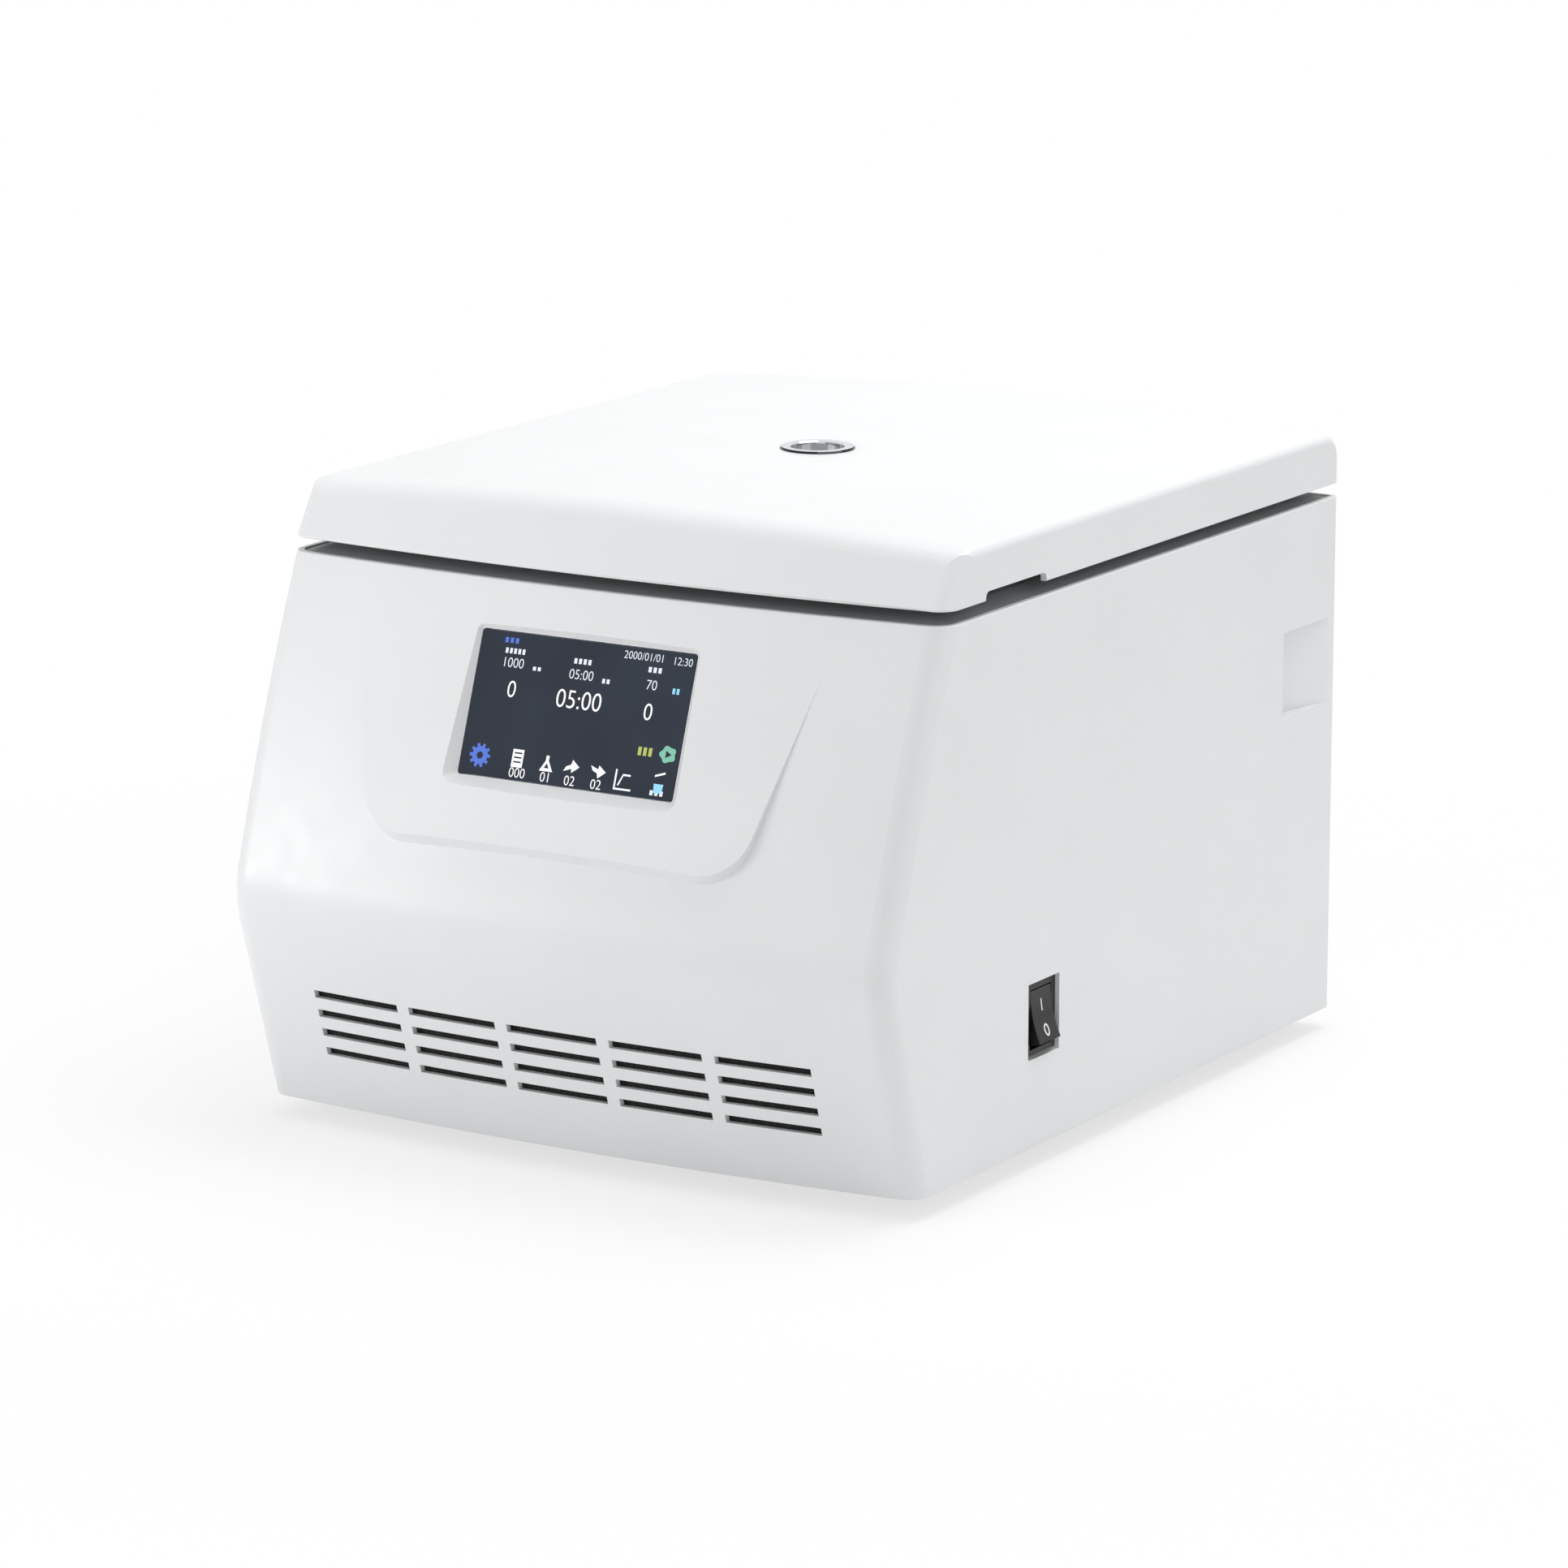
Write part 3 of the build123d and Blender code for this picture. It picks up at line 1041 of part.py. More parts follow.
def lid_striker():
    """Tongue under the lid with a window for the latch bolt."""
    x, y = STRIKER_T / 2, STRIKER_W / 2
    plate = block(-x, x, LATCH_Y - y, LATCH_Y + y, LINER_Z - STRIKER_L, LINER_Z)
    foot_x = 3 * STRIKER_T
    plate += block(-foot_x, foot_x, LATCH_Y - y, LATCH_Y + y, LINER_Z - STRIKER_FOOT_T, LINER_Z)
    reach = BOLT_W / 2 + BOLT_GAP
    return plate - bolt_window(foot_x, reach)


# ---------------------------------------------------------------- hinges and latch
def hinge_bracket():
    """Base on the deck with two ears that reach back to the pin; on the middle of a hinge."""
    y0, z, r = HINGE_FLAT_Y + HINGE_BASE_GAP, HINGE_FLAT_Z, HINGE_EYE_R
    inner = HINGE_ARM_W / 2 + HINGE_SIDE_GAP
    outer = inner + HINGE_EAR_T
    bracket = block(-outer, outer, y0, y0 + HINGE_BASE_D, z, z + HINGE_BASE_T)
    for x0, x1 in ((-outer, -inner), (inner, outer)):
        bracket += block(x0, x1, y0, y0 + HINGE_EAR_D, z, HINGE_Z + r)
        bracket += block(x0, x1, y0, HINGE_Y, HINGE_Z - r, HINGE_Z + r)
        bracket += bar_x(x0, x1, HINGE_Y, HINGE_Z, r)
    return bracket - bar_x(-outer - 1, outer + 1, HINGE_Y, HINGE_Z, HINGE_PIN_R + PIN_GAP)


def hinge_pin():
    end = HINGE_ARM_W / 2 + HINGE_SIDE_GAP + HINGE_EAR_T + HINGE_PIN_END
    return bar_x(-end, end, HINGE_Y, HINGE_Z, HINGE_PIN_R)


def hinge_arm():
    """Lid's half of a hinge: an eye round the pin and a leaf on top of the liner."""
    x = HINGE_ARM_W / 2
    arm = block(-x, x, HINGE_Y - HINGE_LEAF_L, HINGE_Y, LINER_TOP, LINER_TOP + HINGE_LEAF_T)
    arm += bar_x(-x, x, HINGE_Y, HINGE_Z, HINGE_EYE_R)
    return arm - bar_x(-x - 1, x + 1, HINGE_Y, HINGE_Z, HINGE_PIN_R + RUN_GAP)


def both_hinges(piece):
    return [Pos(x, 0, 0) * piece for x in (-HINGE_X, HINGE_X)]


def bolt_window(x, half):
    """Square window for the latch bolt, between -x and x."""
    return block(-x, x, LATCH_Y - half, LATCH_Y + half, BOLT_Z - half, BOLT_Z + half)


def latch_bracket():
    """Plate under the deck with two legs that guide the bolt."""
    y = SOLENOID_W / 2
    far = BOLT_TIP + BOLT_TRAVEL - 1
    near = NEAR_LEG_X
    back = near - SOLENOID_STANDOFF - SOLENOID_L
    top = DECK_UNDER
    bracket = block(back, far, LATCH_Y - y, LATCH_Y + y, top - STRIKER_FOOT_T, top)
    for x in (far, near):
        bracket += block(x - LEG_T, x, LATCH_Y - y, LATCH_Y + y, BOLT_Z - BOLT_W, top)
    bracket -= bolt_window(SOLENOID_L, BOLT_W / 2 + BOLT_GUIDE)
    return bracket - latch_slot(BOLT_Z, top + 1)


def latch_solenoid():
    x1 = NEAR_LEG_X - SOLENOID_STANDOFF
    x0 = x1 - SOLENOID_L
    y = SOLENOID_W / 2
    top = DECK_UNDER - STRIKER_FOOT_T
    body = block(x0, x1, LATCH_Y - y, LATCH_Y + y, 2 * BOLT_Z - top, top)
    return body - bar_x(x0 + SOLENOID_WALL, x1 + 1, LATCH_Y, BOLT_Z, PLUNGER_R + RUN_GAP)


def latch_bolt():
    """Square bolt on the solenoid's round plunger."""
    y = BOLT_W / 2
    bolt = block(PLUNGER_X, BOLT_TIP, LATCH_Y - y, LATCH_Y + y, BOLT_Z - y, BOLT_Z + y)
    return bolt + bar_x(PLUNGER_X - PLUNGER_L, PLUNGER_X + 1, LATCH_Y, BOLT_Z, PLUNGER_R)


# ---------------------------------------------------------------- display and boards
def touchscreen_glass():
    pane = RectangleRounded(SCREEN_W, SCREEN_H, SCREEN_R - SCREEN_GAP)
    return extrude(screen_plane(WALL) * pane, amount=WALL)


def display_module():
    grow = 2 * DISPLAY_RIM
    return extrude(screen_plane(WALL) * Rectangle(SCREEN_W + grow, SCREEN_H + grow), amount=-DISPLAY_T)


def control_board():
    plane = screen_plane(WALL + DISPLAY_T + STANDOFF_L)
    board = extrude(plane * Rectangle(BOARD_W, BOARD_H), amount=-BOARD_T)
    back = plane.offset(-BOARD_T)
    for x, y, wide, deep, tall in CHIPS:
        board += extrude(back * Pos(x, y) * Rectangle(wide, deep), amount=-tall)
    return board


def board_standoffs():
    plane = screen_plane(WALL + DISPLAY_T)
    places = GridLocations(SCREEN_W - 2 * STANDOFF_INSET, SCREEN_H - 2 * STANDOFF_INSET, 2, 2)
    return [extrude(plane * place * RegularPolygon(STANDOFF_R, 6), amount=-STANDOFF_L) for place in places]


def power_board():
    """Board on pillars over the base plate, seen from the middle of the board."""
    low = PLATE_TOP + STANDOFF_L
    top = low + BOARD_T
    x, y = POWER_W / 2, POWER_D / 2
    board = block(-x, x, -y, y, low, top)
    board += [post(a, b, PLATE_TOP, low + 1, STANDOFF_R)
              for a in (POWER_PILLAR - x, x - POWER_PILLAR) for b in (POWER_PILLAR - y, y - POWER_PILLAR)]
    for side in (-1, 1):
        board += post(side * CAPACITOR_PITCH / 2, CAPACITOR_Y, top, top + CAPACITOR_H, CAPACITOR_R)
    for a, b, wide, deep, tall in POWER_PARTS:
        board += block(a - wide / 2, a + wide / 2, b - deep / 2, b + deep / 2, top, top + tall)
    return Pos(POWER_X, POWER_Y, 0) * board


def heat_sink():
    half, low = SINK_W / 2, PLATE_TOP + STANDOFF_L + BOARD_T
    pitch = (SINK_W - SINK_FIN_T) / (SINK_FINS - 1)
    sink = block(-half, half, -half, half, low, low + SINK_BASE)
    fin = block(-half, SINK_FIN_T - half, -half, half, low + SINK_BASE - 1, low + SINK_H)
    sink += [Pos(pitch * i, 0, 0) * fin for i in range(SINK_FINS)]
    return Pos(POWER_X, POWER_Y + SINK_Y, 0) * sink


# ---------------------------------------------------------------- power switch
def switch_body():
    """Bezel and box, open to the front for the rocker."""
    margin = BEZEL_MARGIN
    body = switch_box(SWITCH_BACK, SWITCH_FACE, SWITCH_OPEN_Y / 2 - margin, SWITCH_OPEN_Z / 2 - margin)
    deep = SWITCH_BACK - SWITCH_CASE_D
    body += switch_box(deep, SWITCH_FACE - 1, CASE_Y, CASE_Z)
    cave_y, cave_z = ROCKER_Y / 2 + ROCKER_SIDE_GAP, ROCKER_SWING + ROCKER_END_GAP
    body -= switch_box(SWITCH_BACK - SWITCH_CAVE_D, HALF_W, cave_y, cave_z)
    end = CASE_Y - 1
    body -= bar_y(SWITCH_Y - end, SWITCH_Y + end, AXLE_X, SWITCH_MID, ROCKER_AXLE_R + RUN_GAP)
    blade = switch_box(deep - BLADE_L, deep + 1, BLADE_W / 2, BLADE_T / 2)
    return body + [Pos(0, 0, step * BLADE_PITCH) * blade for step in (-1, 0, 1)]


def switch_rocker():
    """Rocker about its axle, tipped with its upper end pressed in."""
    h, tip, back = ROCKER_HALF, ROCKER_TIP, ROCKER_BACK
    hollow = ThreePointArc((tip, -h), (tip - ROCKER_DIP, 0), (tip, h))
    rest = Polyline((tip, h), (-back / 2, h), (-back, 0), (-back / 2, -h), (tip, -h))
    face = Plane.XZ * make_face(Curve() + [hollow, rest])
    rocker = Pos(0, ROCKER_Y / 2, 0) * extrude(face, amount=ROCKER_Y)
    end = CASE_Y - SWITCH_CASE_END
    rocker += bar_y(-end, end, 0, 0, ROCKER_AXLE_R)
    return Pos(AXLE_X, SWITCH_Y, SWITCH_MID) * Rot(0, -ROCKER_TILT, 0) * rocker


# ---------------------------------------------------------------- rear panel and what it carries
def fan_place():
    return Pos(FAN_X, 0, BOTTOM_Z + FAN_Z)


def rear_panel():
    y0, y1 = PANEL_FACE_Y - 1, PANEL_OUT_Y + 1
    panel = rear_opening(-FIT_GAP, PANEL_FACE_Y, PANEL_OUT_Y)
    panel -= fan_place() * bar_y(y0, y1, 0, 0, FAN_R)
    louvre = block(-LOUVRE_W / 2, LOUVRE_W / 2, y0, y1, -LOUVRE_H / 2, LOUVRE_H / 2)
    for place in GridLocations(LOUVRE_PITCH_X, LOUVRE_PITCH_Z, LOUVRE_COLS, LOUVRE_ROWS):
        spot = place.position
        panel -= Pos(LOUVRE_X + spot.X, 0, BOTTOM_Z + LOUVRE_Z + spot.Y) * louvre
    return panel - inlet_box(y0, y1, INLET_FLANGE - FIT_GAP)


def rear_panel_screws():
    low = BOTTOM_Z + REAR_OPEN_LOW
    inset = REAR_FRAME / 2
    x = REAR_OPEN_W / 2 - inset
    heights = (low + inset, low + REAR_OPEN_H / 2, low + REAR_OPEN_H - inset)
    end = PANEL_OUT_Y + REAR_SCREW_H
    slot = Box(REAR_SCREW_R, REAR_SCREW_H, SCREW_SLOT)
    head = bar_y(PANEL_OUT_Y, end, 0, 0, REAR_SCREW_R) - Pos(0, end, 0) * (slot + Rot(0, 90, 0) * slot)
    return [Pos(side * x, 0, z) * head for side in (-1, 1) for z in heights]


def fan_frame():
    y0, y1, half = PANEL_FACE_Y - FAN_D, PANEL_FACE_Y, FAN_W / 2
    web = y0 + FAN_WEB_T
    bore = FAN_R + FAN_SWEEP_GAP
    frame = block(-half, half, y0, y1, -half, half) - bar_y(y0 - 1, y1 + 1, 0, 0, bore)
    frame += bar_y(y0, web, 0, 0, FAN_WEB_R)
    spoke = block(FAN_WEB_R - 1, bore + 1, y0, web, -FAN_SPOKE_W / 2, FAN_SPOKE_W / 2)
    frame += [Rot(0, 360 * (i + 0.25) / FAN_SPOKES, 0) * spoke for i in range(FAN_SPOKES)]
    return fan_place() * (frame + bar_y(web - 1, y0 + FAN_D / 2, 0, 0, FAN_SPINDLE_R))


def fan_impeller():
    y0, y1 = PANEL_FACE_Y - FAN_D + FAN_WEB_T + FAN_SWEEP_GAP, PANEL_FACE_Y - FAN_WEB_T
    hole = bar_y(y0 - 1, PANEL_FACE_Y - FAN_D / 2 + 1, 0, 0, FAN_SPINDLE_R + RUN_GAP)
    fan = bar_y(y0, y1, 0, 0, FAN_HUB_R) - hole
    sweep = bar_y(y0 + 1, y1 - 1, 0, 0, FAN_R - FAN_SWEEP_GAP)
    x0 = FAN_HUB_R - 2
    blade = Box(FAN_R - x0, FAN_BLADE_T, BLADE_CHORD)
    blade = Pos((FAN_R + x0) / 2, (y0 + y1) / 2, 0) * Rot(BLADE_TWIST, 0, 0) * blade & sweep
    return fan_place() * (fan + [Rot(0, 360 * i / FAN_BLADES, 0) * blade for i in range(FAN_BLADES)])


def fan_guard():
    """Wire rings joined by four ribs."""
    y0, y1 = PANEL_OUT_Y, PANEL_OUT_Y + GUARD_WIRE
    radii = [FAN_R + FAN_SWEEP_GAP - GUARD_PITCH * i for i in range(GUARD_RINGS)]
    rings = [bar_y(y0, y1, 0, 0, r) - bar_y(y0 - 1, y1 + 1, 0, 0, r - GUARD_WIRE) for r in radii]
    half = GUARD_WIRE / 2
    rib = block(radii[-1] - GUARD_WIRE, FAN_R + GUARD_PITCH, y0, y1, -half, half)
    return fan_place() * (Part() + rings + [Rot(0, 45 + 90 * i, 0) * rib for i in range(4)])


def inlet_box(y0, y1, inset, down=0.0, half=(INLET_W / 2, INLET_H / 2)):
    """Box about the inlet's middle, or down below it, with half sizes drawn in by inset."""
    x, z, mid = half[0] - inset, half[1] - inset, INLET_MID - down
    return block(INLET_X - x, INLET_X + x, y0, y1, mid - z, mid + z)


def power_inlet():
    """Three-blade mains inlet with a fuse drawer bay below it."""
    y = PANEL_OUT_Y
    body = inlet_box(y, y + INLET_FLANGE_T, 0) + inlet_box(y - INLET_D, y + 1, INLET_FLANGE)
    middle = (INLET_X, y + INLET_FLANGE_T, INLET_MID + SOCKET_UP)
    mouth = Plane(origin=middle, x_dir=(1, 0, 0), z_dir=(0, -1, 0))
    body -= extrude(mouth * RectangleRounded(SOCKET_W, SOCKET_H, SOCKET_R), amount=SOCKET_D)
    back = middle[1] - SOCKET_D
    for dx, dz in SOCKET_PINS:
        body += Pos(INLET_X + dx, back + SOCKET_PIN[1] / 2 - 1, middle[2] + dz) * Box(*SOCKET_PIN)
    bay = (FUSE_W / 2, FUSE_H / 2)
    return body - inlet_box(y - FUSE_TRAVEL - FUSE_HOLD - 1, y + 2, -FUSE_GAP, FUSE_DOWN, bay)


def fuse_drawer():
    """Drawer that holds two fuses, open at the top."""
    back, front = PANEL_OUT_Y - FUSE_TRAVEL - FUSE_HOLD, PANEL_OUT_Y + INLET_FLANGE_T
    half = (FUSE_W / 2, FUSE_H / 2)
    drawer = inlet_box(back, front, 0, FUSE_DOWN, half)
    pocket = inlet_box(back + FUSE_WALL, front - 3 * FUSE_WALL, FUSE_WALL, FUSE_DOWN, half)
    return drawer - pocket - Pos(0, 0, 2 * FUSE_WALL) * pocket


# ---------------------------------------------------------------- the whole machine
def nodes():
    """Every sub-part by name."""
    parts = {
        "housing_shell": housing_shell(),
        "base_plate": base_plate(),
        "feet": [Pos(x, y, 0) * foot() for x, y in foot_places()],
        "foot_screws": [Pos(x, y, 0) * foot_screw() for x, y in foot_places()],
        "rear_panel": rear_panel(),
        "rear_panel_screws": rear_panel_screws(),
        "vent_filter": vent_filter(),
        "frame_posts": frame_posts(),
        "work_deck": work_deck(),
        "deck_screws": deck_screws(),
        "lid_buffers": lid_buffers(),
        "chamber_bowl": chamber_bowl(),
        "chamber_gasket": chamber_gasket(),
        "guard_ring": guard_ring(),
        "shaft_seal": shaft_seal(),
        "motor_dampers": motor_dampers(),
        "motor_plate": motor_plate(),
        "motor_housing": motor_housing(),
        "motor_shaft": motor_shaft(),
        "rotor_head": rotor_head(),
        "rotor_knob": rotor_knob(),
        "carrier_pins": carrier_pins(),
        "touchscreen_glass": touchscreen_glass(),
        "display_module": display_module(),
        "board_standoffs": board_standoffs(),
        "control_board": control_board(),
        "power_board": power_board(),
        "heat_sink": heat_sink(),
        "switch_body": switch_body(),
        "switch_rocker": switch_rocker(),
        "power_inlet": power_inlet(),
        "fuse_drawer": fuse_drawer(),
        "fan_frame": fan_frame(),
        "fan_impeller": fan_impeller(),
        "fan_guard": fan_guard(),
        "latch_bracket": latch_bracket(),
        "latch_solenoid": latch_solenoid(),
        "latch_bolt": latch_bolt(),
        "hinge_brackets": both_hinges(hinge_bracket()),
        "hinge_pins": both_hinges(hinge_pin()),
        "lid_hinge_arms": both_hinges(hinge_arm()),
        "lid_shell": lid_shell(),
        "lid_liner": lid_liner(),
        "lid_screws": lid_screws(),
        "lid_striker": lid_striker(),
        "window_ring": window_ring(),
        "window_pane": window_pane(),
    }
    clip, funnel = carrier_clip(), sample_funnel()
    for i in range(STATIONS):
        parts[f"carrier_{i + 1}"] = on_carrier(i, clip)
        parts[f"funnel_{i + 1}"] = on_carrier(i, funnel)
    return parts


def main():
    os.makedirs("parts", exist_ok=True)
    for node, shape in nodes().items():
        save(node, Compound(children=shape) if isinstance(shape, list) else shape)


if __name__ == "__main__":
    main()
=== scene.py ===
"""Looks of a bench cytocentrifuge: its finishes, the lit screen, the switch marks and the studio."""

import json
import math

import bmesh
import bpy
from mathutils import Matrix, Vector
from mathutils.bvhtree import BVHTree


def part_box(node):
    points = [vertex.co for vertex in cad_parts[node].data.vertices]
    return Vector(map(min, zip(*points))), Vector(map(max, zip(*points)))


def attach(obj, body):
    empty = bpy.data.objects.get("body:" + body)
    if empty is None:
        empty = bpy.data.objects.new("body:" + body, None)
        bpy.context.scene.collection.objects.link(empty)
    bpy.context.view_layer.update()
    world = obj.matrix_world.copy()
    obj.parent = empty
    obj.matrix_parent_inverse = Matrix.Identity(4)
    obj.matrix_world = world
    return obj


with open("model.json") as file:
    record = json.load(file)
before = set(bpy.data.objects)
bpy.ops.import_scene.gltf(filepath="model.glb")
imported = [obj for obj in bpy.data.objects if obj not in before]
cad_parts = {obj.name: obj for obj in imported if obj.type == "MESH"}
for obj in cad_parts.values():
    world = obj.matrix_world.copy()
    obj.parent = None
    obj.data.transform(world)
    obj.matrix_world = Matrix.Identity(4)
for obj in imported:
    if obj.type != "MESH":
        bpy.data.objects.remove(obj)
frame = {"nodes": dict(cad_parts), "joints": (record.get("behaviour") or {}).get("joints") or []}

bl_info = {
    "name": "Bench cytocentrifuge",
    "version": (1, 0, 0),
    "blender": (4, 5, 0),
    "location": "View3D > Sidebar > Cytocentrifuge",
    "description": "Dresses the packed cytocentrifuge and sets up its studio",
    "category": "Object",
}

MM = 0.001
NODES = frame["nodes"]
JOINTS = {joint["name"]: joint for joint in frame["joints"]}
ROTOR_AXIS = Vector(JOINTS["rotor_spin"]["pos_m"])
ROCKER_PIVOT = Vector(JOINTS["power_rocker"]["pos_m"])
HOUSING_LOW, HOUSING_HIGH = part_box("housing_shell")
RING_LOW, RING_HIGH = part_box("window_ring")

RING_BEVEL = 0.8 * MM      # bevelled outer edge of the view port's ring, where a dark reflection is painted
WINDING_RADIUS = 0.1       # metres: lengths along the turn round the rotor are true at this radius
FLAT_TOLERANCE = 0.1 * MM  # points this near to a face's furthest reach lie in it
DIGIT_SHARE = 0.73         # height of the built-in digits, as a share of the text size
DIGIT_THINNING = 0.010     # taken off each side of a digit's stroke, as a share of its height
PICTURE_LIFT = 0.02 * MM   # gap between the glass and the picture's marks
CELL_SHARE = 0.62          # width of a blank cell, as a share of its pitch

MARK_DEPTH = 0.1 * MM      # thickness of a mark on the rocker
MARK_LIFT = 0.04 * MM      # its middle above the rocker
MARK_EDGE = 1.5 * MM       # longer edges are cut, so that a mark follows the curved rocker
MARK_CUTS = 4
RAY_START = 0.05           # metres out from the rocker's pivot, clear of the switch

FLOOR_RADIUS = 9.0         # metres
FADE_FROM = 0.35           # metres from the middle: the floor begins to melt into the room here
FADE_TO = 0.9              # and is one with it here
SENSOR_WIDTH = 36.0        # millimetres
LAMPS = {                  # place from the housing's middle, and width, both in metres
    "key": ((-1.3, -2.0, 0.9), 1.6),
    "near": ((-1.0, -1.0, 0.15), 0.35),
    "top": ((0.4, 0.5, 2.0), 1.6),
    "side": ((2.2, -0.3, 0.9), 1.8),
}


# ---------------------------------------------------------------- colours
def linear(code):
    """Linear RGBA of an sRGB hex colour."""
    shares = [int(code[i:i + 2], 16) / 255 for i in (1, 3, 5)]
    return (*[s / 12.92 if s <= 0.04045 else ((s + 0.055) / 1.055) ** 2.4 for s in shares], 1.0)


def colour_property(name, description, code):
    """Setting that is a colour."""
    return bpy.props.FloatVectorProperty(
        name=name, description=description, subtype="COLOR", size=4, min=0, max=1, default=linear(code)
    )


def length_property(name, description, millimetres):
    """Setting that is a length."""
    return bpy.props.FloatProperty(
        name=name, description=description, unit="LENGTH", min=0, default=millimetres * MM
    )


def angle_property(name, description, degrees):
    """Setting that is an angle."""
    return bpy.props.FloatProperty(
        name=name, description=description, subtype="ANGLE", default=math.radians(degrees)
    )


def share_property(name, description, share):
    """Setting that is a share of one."""
    return bpy.props.FloatProperty(
        name=name, description=description, subtype="FACTOR", min=0, max=1, default=share
    )


def power_property(name, description, watts):
    """Setting that is a lamp's power."""
    return bpy.props.FloatProperty(name=name, description=description, unit="POWER", min=0, default=watts)


class FinishSettings(bpy.types.PropertyGroup):
    """Colours of the moulded, painted and metal pieces"""

    housing: colour_property("Housing", "Moulded housing and lid", "#E4E6E7")
    deck: colour_property("Deck", "Deck round the chamber", "#9A9C9E")
    liner: colour_property("Liner", "Underside of the lid", "#8E9193")
    paint: colour_property("Rear panel", "Powder coat of the rear panel", "#D3D5D6")
    switch: colour_property("Black parts", "Switch frame, rotor knob, fan and mains inlet", "#101012")
    rocker: colour_property("Rocker", "Switch rocker", "#19191C")
    solder_mask: colour_property("Solder mask", "Circuit boards", "#12553A")
    funnel: colour_property("Funnel", "Sample funnels", "#E9EAE6")


class ScreenSettings(bpy.types.PropertyGroup):
    """Picture on the touchscreen"""

    ground: colour_property("Ground", "Dark ground of the picture", "#3A4250")
    ink: colour_property("Ink", "Numbers and pictograms", "#F4F5F6")
    pale_ink: colour_property("Pale ink", "Small numbers and blank cells", "#DDE1E9")
    gear: colour_property("Gear", "Settings gear", "#3A64CC")
    go: colour_property("Go", "Start mark", "#6FB59C")
    ready: colour_property("Ready", "Cells beside the start mark", "#A9B64A")
    box: colour_property("Box", "Lid pictogram", "#86CDEB")
    big_digit: length_property("Big digits", "Height of the three large readings", 9.2)
    small_digit: length_property("Small digits", "Height of the set values", 5.4)
    narrow: share_property("Narrow", "Width of the digits, as a share of the font's", 0.92)
    depth: length_property("Depth", "Thickness of the picture's marks", 0.06)


class MarkSettings(bpy.types.PropertyGroup):
    """Marks printed on the switch rocker"""

    ink: colour_property("Ink", "Ink of the marks", "#ECEDEE")
    size: length_property("Size", "Height of a mark", 6.4)
    line: length_property("Line", "Width of a mark's line", 1.0)
    spread: length_property("Spread", "Distance of a mark from the rocker's middle", 6.6)


class StudioSettings(bpy.types.PropertyGroup):
    """Camera, lamps and floor"""

    azimuth: angle_property("Azimuth", "Camera to the right of the front", 31.332)
    elevation: angle_property("Elevation", "Camera above the horizon", 12.83)
    distance: length_property("Distance", "Camera from its target", 3707.8)
    lens: bpy.props.FloatProperty(name="Lens", description="Focal length", unit="CAMERA", default=155.04)
    target: bpy.props.FloatVectorProperty(
        name="Target", description="Point that the camera looks at", subtype="TRANSLATION",
        default=(-0.01796, 0.0215, 0.1595),
    )
    floor: colour_property("Floor", "Paper floor", "#F4F4F4")
    glow: share_property("Glow", "Room's white in the floor under the object", 0.7)
    sky: share_property("Sky", "Strength of the room's light", 0.53)
    key: power_property("Key", "Lamp over the front", 7.0)
    near: power_property("Near", "Small lamp on the left", 3.4)
    top: power_property("Top", "Lamp above", 30.0)
    side: power_property("Side", "Lamp on the right", 5.5)


SETTINGS = {
    "cyto_finish": FinishSettings,
    "cyto_screen": ScreenSettings,
    "cyto_marks": MarkSettings,
    "cyto_studio": StudioSettings,
}


# ---------------------------------------------------------------- material tools
def add_node(tree, kind, inputs=None, **settings):
    """Add a node, set its properties, then its inputs: a socket is linked and anything else is a value."""
    node = tree.nodes.new(kind)
    for key, value in settings.items():
        setattr(node, key, value)
    for name, value in (inputs or {}).items():
        if isinstance(value, bpy.types.NodeSocket):
            tree.links.new(value, node.inputs[name])
        else:
            node.inputs[name].default_value = value
    return node


def surface(name, values):
    """New material: its tree, and its shader with these values on the sockets."""
    material = bpy.data.materials.new(name)
    material.use_nodes = True
    tree = material.node_tree
    shader = tree.nodes["Principled BSDF"]
    for socket, value in values.items():
        shader.inputs[socket].default_value = value
    return material, tree, shader


def noise(tree, size_mm, detail=2.0, roughness=0.5, stretch=(1.0, 1.0, 1.0), vector=None):
    """Noise whose features are about this size in millimetres, longer where stretch is larger."""
    if vector is None:
        vector = add_node(tree, "ShaderNodeTexCoord").outputs["Object"]
    scale = [1 / (size_mm * MM * s) for s in stretch]
    mapping = add_node(tree, "ShaderNodeMapping", {"Vector": vector, "Scale": scale})
    texture = add_node(
        tree, "ShaderNodeTexNoise",
        {"Vector": mapping.outputs["Vector"], "Scale": 1.0, "Detail": detail, "Roughness": roughness},
    )
    return texture.outputs["Fac"]


def between(tree, factor, low, high, start=0.3, end=0.7):
    """A factor brought between two values; noise keeps mostly to the range from 0.3 to 0.7."""
    node = add_node(
        tree, "ShaderNodeMapRange",
        {"Value": factor, "From Min": start, "From Max": end, "To Min": low, "To Max": high},
    )
    return node.outputs["Result"]


def tinted(tree, factor, colour, shade):
    """Colour that a low factor turns to its own shade, a multiple of it, and a high one leaves as it is."""
    other = (*[min(c * shade, 1.0) for c in colour[:3]], 1.0)
    ramp = add_node(tree, "ShaderNodeValToRGB", {"Fac": factor})
    ramp.color_ramp.elements[0].position = 0.35
    ramp.color_ramp.elements[0].color = other
    ramp.color_ramp.elements[1].position = 0.65
    ramp.color_ramp.elements[1].color = (*colour[:3], 1.0)
    return ramp.outputs["Color"]


def scaled(colour, share):
    """Colour brought to a share of its strength."""
    return [share * c for c in colour[:3]]


